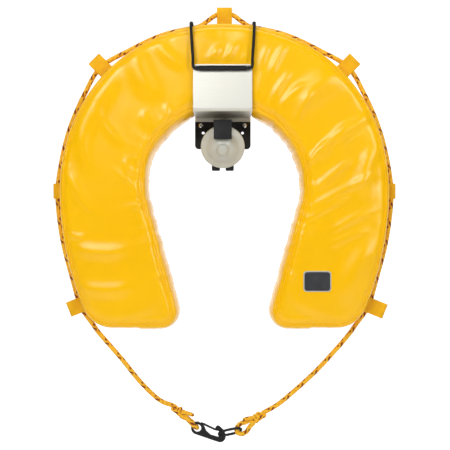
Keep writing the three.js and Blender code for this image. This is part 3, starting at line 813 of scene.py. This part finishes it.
class Edge:
    """Distances from the buoy's outline, for many points at once."""

    def __init__(self, inset=0.0):
        line = horseshoe(inset)
        self.starts = line
        self.spans = np.roll(line, -1, axis=0) - line
        self.lengths = np.linalg.norm(self.spans, axis=1)
        self.along = np.concatenate([[0], np.cumsum(self.lengths)[:-1]])

    def measure(self, x, z):
        """Distance inside the outline, place along it, and the unit direction towards the inside."""
        points = np.column_stack([x, z])
        best = np.full(len(points), 1e9)
        place = np.zeros(len(points))
        nearest = np.zeros((len(points), 2))
        inside = np.zeros(len(points), bool)
        for start, span, length, along in zip(self.starts, self.spans, self.lengths, self.along):
            offset = points - start
            share = np.clip(offset @ span / length**2, 0, 1)
            foot = start + share[:, None] * span
            distance = np.linalg.norm(points - foot, axis=1)
            closer = distance < best
            best[closer] = distance[closer]
            place[closer] = along + share[closer] * length
            nearest[closer] = foot[closer]
            end = start + span
            crosses = (start[1] > points[:, 1]) != (end[1] > points[:, 1])
            if abs(span[1]) > 1e-12:
                at = start[0] + (points[:, 1] - start[1]) * span[0] / span[1]
                inside ^= crosses & (points[:, 0] < at)
        away = points - nearest
        away /= np.maximum(np.linalg.norm(away, axis=1), 1e-9)[:, None]
        sign = np.where(inside, 1.0, -1.0)
        return best * sign, place, away * sign[:, None]


# ---- padded cover ----

START_INSET = 0.0055  # the cover starts this much smaller all round, and swells
VOXEL = 0.005
SWELL_LIMIT = 0.0035
SWELL_FRAMES = 20
SWELL_EVENING = 36  # rounds that even out the swell between neighbours
BULGE = 0.003  # how far the rim stands proud of the outline between its two seams
SEAM_INSET = 0.004  # the front and back seams lie this far inside the outline
SEAM_R = 0.0012
SEAM_STEP = 0.002
START_BACK = BUOY_BACK + 0.005
START_FRONT = BUOY_FRONT - 0.004
DENT_R = ROPE_R + 0.0006  # radius of the hollow that the rope lies in
DENT_REACH = 0.009  # the hollow stops where the rope is further off than this

# how far forward and back the cover may stand: under the bracket, and how much more beside it
PRESSED_FRONT, FREE_FRONT = 0.1098, 0.0037
PRESSED_BACK, FREE_BACK = 0.0068, 0.0023
SHELF_TOP = -0.0428  # just above the steel
SHELF_BOTTOM = -0.07
SHELF_HALF = 0.0525


def add_cover(rope_line):
    outline = [(x + BUOY_SIDE, z) for x, z in horseshoe(START_INSET)]
    vertices = [(x, -depth, z) for depth in (START_BACK, START_FRONT) for x, z in outline]
    count = len(outline)
    faces = [list(range(count)), list(range(2 * count - 1, count - 1, -1))]
    faces += [(i, count + i, count + (i + 1) % count, (i + 1) % count) for i in range(count)]
    cover = mesh_object("padded_cover", vertices, faces)
    outward_normals(cover)
    remesh(cover, VOXEL, 3)
    swell(cover)
    subdivide(cover)
    shape_cover(cover)
    dent_under(cover, rope_line)
    finish_piece(
        cover,
        "buoy",
        "cover",
        replaced=(
            "foam_core_front",
            "foam_core_back",
            "front_panel",
            "back_panel",
            "outer_gusset",
            "inner_gusset",
        ),
    )
    return cover


def swell(cover):
    """Cloth under pressure, held along the seams: the panels crown and wrinkle between them."""
    rest = coords_of(cover)
    edge = Edge(START_INSET).measure(rest[:, 0] - BUOY_SIDE, rest[:, 2])[0]
    depth = -rest[:, 1]
    from_seam = np.hypot(edge, np.minimum(depth - START_BACK, START_FRONT - depth))
    held = cover.vertex_groups.new(name="seams")
    for index in np.nonzero(from_seam < 0.8 * VOXEL)[0]:
        held.add([int(index)], 1.0, "REPLACE")
    cloth = cover.modifiers.new("cloth", "CLOTH")
    settings = cloth.settings
    settings.quality = 6
    settings.mass = 0.3
    settings.tension_stiffness = 12
    settings.compression_stiffness = 12
    settings.shear_stiffness = 6
    settings.bending_stiffness = 0.4
    settings.use_pressure = True
    settings.uniform_pressure_force = 4.0
    settings.shrink_min = -0.05
    settings.vertex_group_mass = "seams"
    settings.pin_stiffness = 1.0
    settings.effector_weights.gravity = 0.0
    cloth.collision_settings.use_collision = False
    cloth.point_cache.frame_start = 1
    cloth.point_cache.frame_end = SWELL_FRAMES
    scene = bpy.context.scene
    for number in range(1, SWELL_FRAMES + 1):
        scene.frame_set(number)
    apply_modifiers(cover)
    scene.frame_set(1)
    cover.vertex_groups.clear()
    moved = spread_out(cover, coords_of(cover) - rest, SWELL_EVENING)
    distance = np.linalg.norm(moved, axis=1)
    share = np.minimum(1, SWELL_LIMIT / np.maximum(distance, 1e-9))
    set_coords(cover, rest + moved * share[:, None])


def spread_out(obj, values, rounds):
    """Even out a value over the mesh: each vertex moves towards the mean of its neighbours."""
    edges = np.zeros(len(obj.data.edges) * 2, dtype=np.int32)
    obj.data.edges.foreach_get("vertices", edges)
    first, second = edges.reshape(-1, 2).T
    count = np.bincount(np.concatenate([first, second]), minlength=len(values))[:, None]
    for _ in range(rounds):
        total = np.zeros_like(values)
        np.add.at(total, first, values[second])
        np.add.at(total, second, values[first])
        values = 0.4 * values + 0.6 * total / np.maximum(count, 1)
    return values


def ripple(along, wavelength, seed):
    """Smooth random waves along a line, about -1 to 1."""
    knots = np.random.RandomState(seed).uniform(-1, 1, 4096)
    at = along / (wavelength / 2)
    low = np.floor(at).astype(int)
    share = at - low
    share = share * share * (3 - 2 * share)
    return knots[low % 4096] * (1 - share) + knots[(low + 1) % 4096] * share


def smooth_step(value, low, high):
    t = np.clip((value - low) / (high - low), 0, 1)
    return t * t * (3 - 2 * t)


# soft folds on the front: x, z, direction in degrees, half length, half width, height
FOLDS = [
    (0.066, 0.048, 68, 0.020, 0.006, 0.0025),
    (0.091, 0.045, 62, 0.024, 0.007, 0.0028),
    (0.060, 0.002, 78, 0.022, 0.006, 0.0019),
    (0.098, 0.002, 56, 0.024, 0.006, 0.0023),
    (0.116, -0.015, 45, 0.026, 0.007, 0.0023),
    (0.158, -0.004, 36, 0.046, 0.022, 0.0059),
    (0.136, -0.036, 62, 0.024, 0.007, 0.0022),
    (0.160, -0.116, 52, 0.026, 0.006, 0.0029),
    (0.186, -0.094, 50, 0.040, 0.009, 0.0034),
    (0.222, -0.072, 40, 0.036, 0.011, 0.0037),
    (0.244, -0.148, 76, 0.044, 0.016, 0.0050),
    (0.190, -0.152, 38, 0.042, 0.008, 0.0025),
    (0.205, -0.182, 27, 0.060, 0.008, 0.0029),
    (0.178, -0.212, 30, 0.040, 0.007, 0.0019),
    (0.222, -0.232, 27, 0.040, 0.009, 0.0026),
    (0.215, -0.262, 22, 0.034, 0.008, 0.0020),
    (0.226, -0.322, 62, 0.055, 0.022, 0.0053),
    (-0.148, 0.022, 112, 0.044, 0.020, 0.0053),
    (-0.098, 0.052, 138, 0.034, 0.012, 0.0028),
    (-0.226, -0.038, 62, 0.060, 0.017, 0.0047),
    (-0.246, -0.114, 100, 0.034, 0.012, 0.0031),
    (-0.202, -0.076, 126, 0.034, 0.009, 0.0023),
    (-0.139, -0.060, 108, 0.014, 0.008, 0.0020),
    (-0.100, -0.048, 100, 0.014, 0.006, 0.0019),
    (-0.168, -0.142, 120, 0.014, 0.007, 0.0019),
    (-0.166, -0.166, 144, 0.026, 0.004, 0.0012),
    (-0.156, -0.178, 140, 0.026, 0.004, 0.0012),
    (-0.252, -0.188, 120, 0.036, 0.009, 0.0026),
    (-0.255, -0.262, 172, 0.014, 0.006, 0.0017),
    (-0.214, -0.289, 177, 0.044, 0.013, 0.0032),
    (-0.206, -0.355, 179, 0.040, 0.013, 0.0029),
    (-0.018, 0.052, 66, 0.018, 0.008, 0.0031),
    (0.010, 0.054, 70, 0.020, 0.008, 0.0031),
    (0.040, 0.046, 66, 0.014, 0.007, 0.0019),
]


def folds(x, z):
    height = np.zeros(len(x))
    for cx, cz, direction, half_length, half_width, rise in FOLDS:
        cos, sin = math.cos(math.radians(direction)), math.sin(math.radians(direction))
        along = ((x - cx) * cos + (z - cz) * sin) / half_length
        across = (-(x - cx) * sin + (z - cz) * cos) / half_width
        across = across + 0.35 * along**2
        height += rise * np.exp(-(along**4)) * (1 - 0.4 * across**2) * np.exp(-0.8 * across**2)
    return height


def wall_bulge(x, z):
    """How far the wall stands proud of the outline: most where the hole's edge is gathered."""
    angle = np.degrees(np.arctan2(z - HOLE_Z, x))
    upper_right = np.exp(-(((angle - 42) / 34) ** 4))
    upper_left = np.exp(-(((angle - 131) / 18) ** 4))
    lower = np.exp(-(((angle + 90) / 95) ** 4))
    inner = np.hypot(x, z - HOLE_Z) < 0.5 * (HOLE_R + OUTER_RX) - 0.01
    leg = (z < HOLE_Z) & (np.abs(x) < 0.15)
    extra = 0.0045 * upper_right + 0.003 * upper_left + 0.0018 * lower
    return BULGE + np.where(inner | leg, extra, 0.0), inner, leg


def shape_cover(cover):
    """Walls and panels drawn to their seams, then crowned, puckered and folded."""
    co = coords_of(cover)
    normals = normals_of(cover)
    x, depth, z = co[:, 0] - BUOY_SIDE, -co[:, 1], co[:, 2]
    edge, along, inward = Edge().measure(x, z)
    bulge, inner, leg = wall_bulge(x, z)
    middle = 0.5 * (BUOY_BACK + BUOY_FRONT)
    half = 0.5 * (BUOY_FRONT - BUOY_BACK)
    height = np.clip((depth - middle) / half, -1.2, 1.2)

    # the wall between the seams: full in the middle, drawn in at each seam
    on_wall = smooth_step(1 - np.abs(normals[:, 1]), 0.2, 0.75) * (edge < 0.035)
    target = SEAM_INSET - (bulge + SEAM_INSET) * (1 - np.abs(height) ** 3)
    push = (target - edge) * on_wall
    pucker = ripple(along, 0.021, 3) * 0.0011 + ripple(along, 0.009, 4) * 0.0002
    push += np.where(inner, 1.3, 0.4) * pucker * on_wall * (1 - np.abs(height) ** 2)
    co[:, 0] += inward[:, 0] * push
    co[:, 2] += inward[:, 1] * push
    press(co)

    # the panels: crowned, puckered along their seams, with soft folds on the front
    facing = smooth_step(np.abs(normals[:, 1]), 0.4, 0.9)
    side = np.sign(depth - middle)
    near_seam = np.exp(-np.maximum(edge - 0.004, 0) / 0.016) * smooth_step(edge, 0.002, 0.009)
    gathers = near_seam * (ripple(along, 0.021, 5) * 0.0013 + ripple(along, 0.009, 6) * 0.0004)
    gathers *= np.where(inner, 1.5, 0.3)
    rolled = np.where(inner | leg, 0.0009, 0.0003) * np.exp(-(((edge - 0.014) / 0.005) ** 2))
    drawn = 0.0036 * np.exp(-np.maximum(edge - 0.003, 0) / 0.0055)
    lift = gathers + rolled + np.where(side > 0, folds(x, z), 0.6 * folds(-x, z))
    co[:, 1] += side * facing * drawn
    co[:, 1] -= side * facing * lift * clear_of_bracket(co)
    set_coords(cover, co)
    relax(cover, 1, 0.3)
    cover.data.shade_smooth()


def dent_under(cover, line):
    """The rim gives way where the rope bears on it."""
    co = coords_of(cover)
    band = np.nonzero(np.abs(co[:, 1] + RIM_DEPTH) < DENT_R)[0]
    x, z = co[band, 0] - BUOY_SIDE, co[band, 2]
    inward = Edge().measure(x, z)[2]
    beside = co[band, 1] + RIM_DEPTH
    offsets = co[band][:, None, ::2] - line[None, :, ::2]
    nearest = np.argmin((offsets**2).sum(axis=2), axis=1)
    offset = offsets[np.arange(len(band)), nearest]
    below_rope = (offset * inward).sum(axis=1)
    push = np.maximum(np.sqrt(DENT_R**2 - beside**2) - below_rope, 0)
    push *= np.linalg.norm(offset, axis=1) < DENT_REACH
    co[band, 0] += inward[:, 0] * push
    co[band, 2] += inward[:, 1] * push
    set_coords(cover, co)


def soft_limit(value, start, limit):
    """Values past start close in on limit without reaching it."""
    room = limit - start
    past = np.maximum(value - start, 0)
    return np.where(value > start, start + room * (1 - np.exp(-past / room)), value)


def clear_of_bracket(co):
    """0 where the bracket covers the buoy, 1 away from it."""
    beside = smooth_step(np.abs(co[:, 0]), 0.056, 0.080)
    below = 1 - smooth_step(co[:, 2], -0.10, -0.06)
    within = 1 - smooth_step(np.abs(co[:, 0]), 0.034, 0.046)
    above = smooth_step(co[:, 2], 0.040, 0.055)
    return np.maximum(np.maximum(beside, below), within * above)


def press(co):
    """Hold the cover back where the bracket, the shock cord and the shelf bear on it."""
    depth = -co[:, 1]
    free = clear_of_bracket(co)
    front = PRESSED_FRONT + FREE_FRONT * free
    depth = soft_limit(depth, front - 0.006, front)
    back = PRESSED_BACK - FREE_BACK * free
    depth = -soft_limit(-depth, -back - 0.004, -back)
    co[:, 1] = -depth
    on_shelf = (np.abs(co[:, 0]) < SHELF_HALF) & (co[:, 2] < SHELF_TOP) & (co[:, 2] > SHELF_BOTTOM)
    co[on_shelf, 2] = SHELF_TOP


def add_seam(cover, name, front):
    """The welded seam: a fine raised bead that follows the edge of a panel."""
    tree = BVHTree.FromObject(cover, bpy.context.evaluated_depsgraph_get())
    outline = horseshoe(SEAM_INSET + 0.0015)
    loop = np.column_stack([outline[:, 0] + BUOY_SIDE, np.zeros(len(outline)), outline[:, 1]])
    loop = even(np.vstack([loop, loop[:1]]), SEAM_STEP)[:-1]
    side = -1.0 if front else 1.0
    points = []
    for x, _, z in loop:
        hit = tree.ray_cast(Vector((x, side * 0.3, z)), Vector((0, -side, 0)))[0]
        points.append((x, hit.y if hit else points[-1][1], z))
    line = np.array(points)
    for _ in range(3):
        line[:, 1] = (np.roll(line[:, 1], 1) + 2 * line[:, 1] + np.roll(line[:, 1], -1)) / 4
    line[:, 1] += side * 0.0001
    along = np.arange(len(line)) * SEAM_STEP
    radius = SEAM_R * (1 + 0.18 * ripple(along, 0.006, 11))
    bead = tube_mesh(name, line, np.repeat(radius[:, None], 8, axis=1), closed=True)
    return finish_piece(bead, "buoy", "cover")


# ---- bracket, holder and light ----


def keep_nodes(names, look):
    for name in names:
        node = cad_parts[name]
        node.data.materials.clear()
        node.data.materials.append(MATERIALS[look])


def add_bracket():
    keep_nodes(("back_plate", "hook_plate"), "steel")
    keep_nodes([f"rivet_{i}" for i in (1, 2, 3, 4)], "bright_metal")
    keep_nodes(("holder_screw_left", "holder_screw_right"), "bright_metal")
    keep_nodes(("cord_sleeve", "cord_knot_left", "cord_knot_right"), "elastic")
    keep_nodes(("light_board",), "board")
    keep_nodes(("battery_upper", "battery_lower"), "cell")
    keep_nodes(("light_lamp",), "lens")


CORD_STEP = 0.0012
CORD_SIDES = 16
CORD_STRANDS = 8
CORD_STRAND_LENGTH = 0.0032


def add_shock_cord():
    def point(x, depth, z):
        return (x, -depth, z)

    left = [point(-x, d, z) for x, d, z in SHOCK_CORD]
    right = [point(*p) for p in reversed(SHOCK_CORD)]
    line = smooth_line([*left, point(*CORD_BAR), *right], CORD_STEP)
    turns = (2 * math.pi * np.arange(len(line)) * CORD_STEP / CORD_STRAND_LENGTH)[:, None]
    angles = CORD_STRANDS * (2 * math.pi * np.arange(CORD_SIDES) / CORD_SIDES)[None]
    crossings = np.abs(np.cos((angles + turns) / 2) * np.cos((angles - turns) / 2))
    radii = CORD_R * (0.98 + 0.10 * crossings)
    cord = tube_mesh("shock_cord_braid", line, radii)
    finish_piece(cord, None, "elastic", replaced=("shock_cord",))
    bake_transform(cord)


# ---- rope loops ----

LOOP_WIDTH = 0.027
STRAP = 0.0016
LOOP_HALF_DEPTH = 0.0067  # to the middle of the webbing
PAD_HALF_DEPTH = 0.0155
PAD_HEIGHT = BULGE + 0.0012
STITCH_GAP = 0.14  # bare webbing at each end of a stitch, as a share of the pitch
STITCH_RADII = (0.00012, 0.00036, 0.00042, 0.00036, 0.00012)


def loop_frame(x, z, angle):
    """Maps (along the rim, height above it, depth from the rim's middle) to a point."""
    cos, sin = math.cos(angle), math.sin(angle)

    def place(along, height, depth):
        return (
            x + BUOY_SIDE + height * cos - along * sin,
            -RIM_DEPTH - depth,
            z + height * sin + along * cos,
        )

    return place


def loop_section(height):
    """The webbing's middle line: out from one pad, round the rope and back onto the other pad."""
    r = LOOP_HALF_DEPTH
    top = height - STRAP / 2 - r
    arch = [(r * math.cos(a), top + r * math.sin(a)) for a in np.linspace(math.pi, 0, 9)]
    left = [
        (-PAD_HALF_DEPTH, PAD_HEIGHT),
        (-PAD_HALF_DEPTH + 0.005, PAD_HEIGHT),
        (-r - 0.0015, PAD_HEIGHT + 0.0004),
        (-r, PAD_HEIGHT + 0.0028),
    ]
    return left + arch + [(-q, h) for q, h in reversed(left)]


def add_strap(name, place, height):
    section = smooth_line([(q, h, 0) for q, h in loop_section(height)], 0.0012)
    columns = np.linspace(-LOOP_WIDTH / 2, LOOP_WIDTH / 2, 21)
    vertices = []
    for i, (q, h, _) in enumerate(section):
        for j, along in enumerate(columns):
            vertices.append(place(along, h, q))
    rows, width = len(section), len(columns)
    faces = [
        (i * width + j, i * width + j + 1, (i + 1) * width + j + 1, (i + 1) * width + j)
        for i in range(rows - 1)
        for j in range(width - 1)
    ]
    strap = mesh_object(name, vertices, faces)
    solid = strap.modifiers.new("thickness", "SOLIDIFY")
    solid.thickness = STRAP
    solid.offset = 0
    bevel = strap.modifiers.new("edges", "BEVEL")
    bevel.width = 0.0004
    bevel.segments = 2
    bevel.limit_method = "ANGLE"
    apply_modifiers(strap)
    strap.data.set_sharp_from_angle(angle=math.radians(50))
    return strap


def stitch_row(place, start, end, count):
    """Short raised stitches in a row; start and end are (along, height, depth)."""
    pieces = []
    start, end = np.array(start), np.array(end)
    for i in range(count):
        a = start + (end - start) * (i + STITCH_GAP) / count
        b = start + (end - start) * (i + 1 - STITCH_GAP) / count
        line = np.array([place(*(a + (b - a) * share)) for share in np.linspace(0, 1, 5)])
        radii = np.array(STITCH_RADII)
        pieces.append(tube_mesh("stitch", line, np.repeat(radii[:, None], 6, axis=1)))
    return pieces


def add_loop(name, x, z, angle, height):
    place = loop_frame(x, z, angle)
    strap = add_strap(name + "_strap", place, height)
    finish_piece(strap, "buoy", "webbing", replaced=(name,))
    stitches = []
    reach = LOOP_WIDTH / 2 - 0.0025
    face = LOOP_HALF_DEPTH + STRAP / 2 + 0.0001
    for side in (-1, 1):
        for h in (PAD_HEIGHT + 0.0045, PAD_HEIGHT + 0.0085):
            stitches += stitch_row(place, (-reach, h, side * face), (reach, h, side * face), 7)
        depth = side * (PAD_HALF_DEPTH - 0.003)
        top = PAD_HEIGHT + STRAP / 2 + 0.0001
        stitches += stitch_row(place, (-reach, top, depth), (reach, top, depth), 7)
    thread = joined(name + "_stitching", *stitches)
    finish_piece(thread, "buoy", "webbing", look="thread")


def add_loops():
    add_loop("loop_top", 0, ARC_Z + OUTER_RZ, math.pi / 2, 0.0365)
    lean = math.radians(22)
    lower = (OUTER_RX - SIDE_R + SIDE_R * math.cos(lean), ARC_Z - SIDE_R * math.sin(lean))
    upper = shoulder_point(0, math.pi / 4)
    for side, mirror in (("right", 1), ("left", -1)):
        for name, (x, z), angle, height in (
            ("upper", upper, math.pi / 4, 0.0395),
            ("middle", (OUTER_RX, ARC_Z), 0.0, 0.018),
            ("lower", lower, -lean, 0.041 if mirror > 0 else 0.032),
        ):
            facing = angle if mirror > 0 else math.pi - angle
            add_loop(f"loop_{name}_{side}", mirror * x, z, facing, height)


# ---- snap hook and link ----

HOOK_PLACE = Matrix.Translation(at_rim(*HOOK_EYE)) @ Matrix.Rotation(HOOK_TILT, 4, "Y")
HOOK_EYE_R = 0.0068
HOOK_THICK = 0.006


def placed(matrix):
    def place(a, b, depth):
        return matrix @ Vector((a, -depth, b))

    return place


def hook_outline():
    """The hook in its own front view: the eye's centre is (0, 0) and the hook runs along +a."""
    outline = arc_points(0, 0, 0.0114, 96, 262, 18)
    outline.append((0.028, -0.0118))
    outline += arc_points(0.0428, -0.0015, 0.0104, -90, 36, 16)
    outline.append((0.0462, 0.0110))
    outline += arc_points(0.0350, 0.0110, 0.0046, 60, 250, 14)
    outline.append((0.0375, 0.0066))
    outline += arc_points(0.0378, 0.0012, 0.0050, 55, -90, 14)
    outline += [(0.026, -0.0040), (0.0165, 0.0002), (0.0128, 0.0050), (0.0092, 0.0080)]
    outline.append((0.004, 0.0100))
    return outline


def add_hook():
    """A plump moulded body: thickest along its back, with a rounded edge all round."""
    hook = rounded_plate(
        "snap_hook_body",
        hook_outline(),
        [arc_points(0, 0, HOOK_EYE_R, 0, 360, 32)[:-1]],
        -HOOK_THICK / 2,
        HOOK_THICK / 2,
        0.0009,
        front_view,
    )
    remesh(hook, 0.0004, 2)
    co = coords_of(hook)
    ridge = smooth_step(co[:, 0], 0.010, 0.046)
    from_back = np.exp(-(((co[:, 2] + 0.0075) / 0.0036) ** 2))
    co[:, 1] *= 1 + 0.35 * ridge * from_back
    set_coords(hook, co)
    relax(hook, 1)
    hook.data.transform(HOOK_PLACE)
    finish_piece(hook, "closing_line", "black_plastic", replaced=("snap_hook",))
    return hook


def add_gate():
    outline = [
        (0.0034, 0.0086), (0.0092, 0.0084), (0.0200, 0.0070), (0.0300, 0.0058),
        (0.0340, 0.0060), (0.0340, 0.0090), (0.0292, 0.0092), (0.0200, 0.0104),
        (0.0095, 0.0119), (0.0032, 0.0121),
    ]
    gate = rounded_plate("gate_arm", outline, [], -0.002, 0.002, 0.0008, placed(HOOK_PLACE))
    gate.data.shade_smooth()
    gate.data.set_sharp_from_angle(angle=math.radians(40))
    return finish_piece(gate, "gate", "black_plastic", replaced=("hook_gate",))


def add_link():
    """An oval ring of round stock, its long sides slightly bowed."""
    reach, half = LINK_HALF - LINK_STOCK / 2, LINK_HALF_WIDTH - LINK_STOCK / 2
    ring = []
    for angle in np.linspace(0, 2 * math.pi, 120, endpoint=False):
        cos, sin = math.cos(angle), math.sin(angle)
        a = reach * math.copysign(abs(cos) ** LINK_SQUARENESS, cos)
        b = half * math.copysign(abs(sin) ** LINK_SQUARENESS, sin)
        ring.append((a, 0.0, b))
    line = even(np.array([*ring, ring[0]]), 0.0012)[:-1]
    radii = np.full((len(line), 16), LINK_RADIUS)
    link = tube_mesh("oval_link_ring", line, radii, closed=True)
    turn = Matrix.Rotation(-LINK_TURN, 4, "Y") @ Matrix.Rotation(LINK_TILT, 4, "X")
    link.data.transform(Matrix.Translation(at_rim(*LINK_MIDDLE)) @ turn)
    return finish_piece(link, "closing_line", "black_plastic", replaced=("oval_link",))


# ---- patch on the right leg ----

PATCH = (0.161 + BUOY_SIDE, -0.340)


def rounded_square(half_width, half_height, corner, steps):
    loop = []
    for k, (sx, sz) in enumerate(((1, 1), (-1, 1), (-1, -1), (1, -1))):
        cx, cz = sx * (half_width - corner), sz * (half_height - corner)
        loop += arc_points(cx, cz, corner, 90 * k, 90 * (k + 1), steps)
    return loop


def laid_on(name, cover, loop, rise, drop):
    """A thin printed shape that lies on the cover; its border turns down by drop."""
    tree = BVHTree.FromObject(cover, bpy.context.evaluated_depsgraph_get())

    def on_surface(x, z, above):
        hit = tree.ray_cast(Vector((x, -0.3, z)), Vector((0, 1, 0)))[0]
        return (x, hit.y - above, z)

    rings, count = 12, len(loop)
    vertices = []
    for ring in range(1, rings + 1):
        for a, b in loop:
            share = ring / rings
            vertices.append(on_surface(PATCH[0] + a * share, PATCH[1] + b * share, rise))
    vertices += [on_surface(PATCH[0] + a * 1.01, PATCH[1] + b * 1.01, rise - drop) for a, b in loop]
    vertices.append(on_surface(*PATCH, rise))
    centre = len(vertices) - 1
    faces = [(centre, j, (j + 1) % count) for j in range(count)]
    for ring in range(rings):
        low, high = ring * count, (ring + 1) * count
        for j in range(count):
            after = (j + 1) % count
            faces.append((low + j, high + j, high + after, low + after))
    return mesh_object(name, vertices, faces)


def add_patch(cover):
    border = laid_on("patch_border", cover, rounded_square(0.024, 0.018, 0.006, 8), 0.0006, 0.0008)
    finish_piece(border, "buoy", "patch", look="patch_edge", replaced=("blank_patch",))
    field = laid_on("patch_field", cover, rounded_square(0.0222, 0.0162, 0.0046, 8), 0.0009, 0.0008)
    finish_piece(field, "buoy", "patch")


# ---- light holder and light ----


def rounded_profile(points, passes=2):
    """Corner cutting that keeps the two ends."""
    for _ in range(passes):
        out = [points[0]]
        for (a, b), (c, d) in zip(points, points[1:]):
            out.append((0.8 * a + 0.2 * c, 0.8 * b + 0.2 * d))
            out.append((0.2 * a + 0.8 * c, 0.2 * b + 0.8 * d))
        points = out + [points[-1]]
    return points


def turned(name, profile, segments, flutes, depth, fluted_from):
    """A turned piece about its own Y, with fine flutes where it is wider than fluted_from."""
    vertices = []
    for r, h in profile:
        for k in range(segments):
            angle = 2 * math.pi * k / segments
            cut = depth * (0.5 + 0.5 * math.cos(flutes * angle)) if r > fluted_from else 0.0
            vertices.append(((r - cut) * math.cos(angle), h, (r - cut) * math.sin(angle)))
    faces = []
    for i in range(len(profile) - 1):
        low, high = i * segments, (i + 1) * segments
        for k in range(segments):
            after = (k + 1) % segments
            faces.append((low + k, low + after, high + after, high + k))
    obj = mesh_object(name, vertices, faces)
    outward_normals(obj)
    obj.data.shade_smooth()
    obj.data.set_sharp_from_angle(angle=math.radians(50))
    return obj


def add_holder():
    def side_view(depth, z, x):
        return (x, -depth, z)

    half, top, bottom, corner = 0.051, -0.053, -0.103, 0.007
    plate_outline = [(half, top), (-half, top)]
    plate_outline += arc_points(corner - half, bottom + corner, corner, 180, 270, 8)
    plate_outline += arc_points(half - corner, bottom + corner, corner, 270, 360, 8)
    holes = []
    for side in (1, -1):
        holes.append(arc_points(side * 0.040, -0.060, 0.0028, 0, 360, 24)[:-1])
        holes.append(arc_points(side * 0.036, -0.0733, 0.0026, 0, 360, 24)[:-1])
    plate = rounded_plate(
        "holder_plate_moulding", plate_outline, holes, 0.0023, 0.0083, 0.0007, front_view
    )
    clip_outline = [
        (0.0086, -0.0565), (0.0775, -0.0565), (0.0775, -0.091), (0.074, -0.091),
        (0.074, -0.060), (0.0121, -0.060), (0.0121, -0.065), (0.0086, -0.065),
    ]
    clip = rounded_plate("holder_clip_moulding", clip_outline, [], -0.016, 0.016, 0.0006, side_view)
    wedge_outline = [(0.0086, -0.066), (0.0316, -0.066), (0.0204, -0.097), (0.0086, -0.097)]
    wedge = rounded_plate("holder_wedge_moulding", wedge_outline, [], -0.014, 0.014, 0.0008, side_view)
    for piece, node in ((plate, "holder_plate"), (clip, "holder_clip"), (wedge, "holder_wedge")):
        piece.data.shade_smooth()
        piece.data.set_sharp_from_angle(angle=math.radians(35))
        finish_piece(piece, "bracket", "black_plastic", replaced=(node,))


def add_light():
    tiers = [
        (0.0395, 0.0), (0.0395, 0.0034), (0.0385, 0.0046), (0.0284, 0.0086), (0.0264, 0.012),
        (0.020, 0.018), (0.0114, 0.022), (0.010, 0.0254), (0.006, 0.0284), (0.0, 0.0295),
    ]
    inside = [
        (0.0, 0.0275), (0.008, 0.0242), (0.0188, 0.0162), (0.0246, 0.0108), (0.027, 0.0064),
        (0.0345, 0.003), (0.0345, 0.0),
    ]
    profile = inside + [(0.0345, 0.0), *rounded_profile(tiers)]
    lens = turned("light_lens_dome", profile, 144, 72, 0.0004, 0.037)
    lens.data.transform(LIGHT_PLACE)
    finish_piece(lens, "light", "lens", replaced=("light_lens",))
    cup = [
        (0.0, -0.024), (0.033, -0.024), (0.036, -0.021), (0.036, -0.0003), (0.033, -0.0003),
        (0.033, -0.021), (0.0, -0.021),
    ]
    base = turned("light_base_moulding", rounded_profile(cup, 1), 144, 36, 0.0005, 0.0355)
    feet = []
    for side in (1, -1):
        outline = rounded_square(0.0075, 0.0075, 0.002, 5)
        outline = [(a + side * 0.0125, b + 0.0395) for a, b in outline]
        feet.append(rounded_plate("foot", outline, [], 0.0045, 0.0195, 0.0012, front_view))
    base = joined("light_base_moulding", base, *feet)
    base.data.transform(LIGHT_PLACE)
    base.data.set_sharp_from_angle(angle=math.radians(40))
    finish_piece(base, "light", "black_plastic", replaced=("light_base",))


def write_sizes():
    boxes = {"cad": CAD_BOUNDS, "visual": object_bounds()}
    plain = {name: [list(corner) for corner in box] for name, box in boxes.items()}


add_camera()
add_lights()
add_floor()
rope, rope_line, rope_exit = add_rope()
eyes = add_eyes()
knots = [
    add_knot("knot_left", LEFT_BEND, LEFT_UP, 0.0265, -1),
    add_knot("knot_right", LINK_BAR, RIGHT_UP, 0.0205, 1),
]
hook = add_hook()
gate = add_gate()
link = add_link()
add_loops()
add_shock_cord()
add_bracket()
add_holder()
add_light()
cover = add_cover(rope_line)
add_patch(cover)
add_seam(cover, "front_seam", True)
add_seam(cover, "back_seam", False)
length_of(rope_line)
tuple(rope_exit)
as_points(rope_line)
write_sizes()
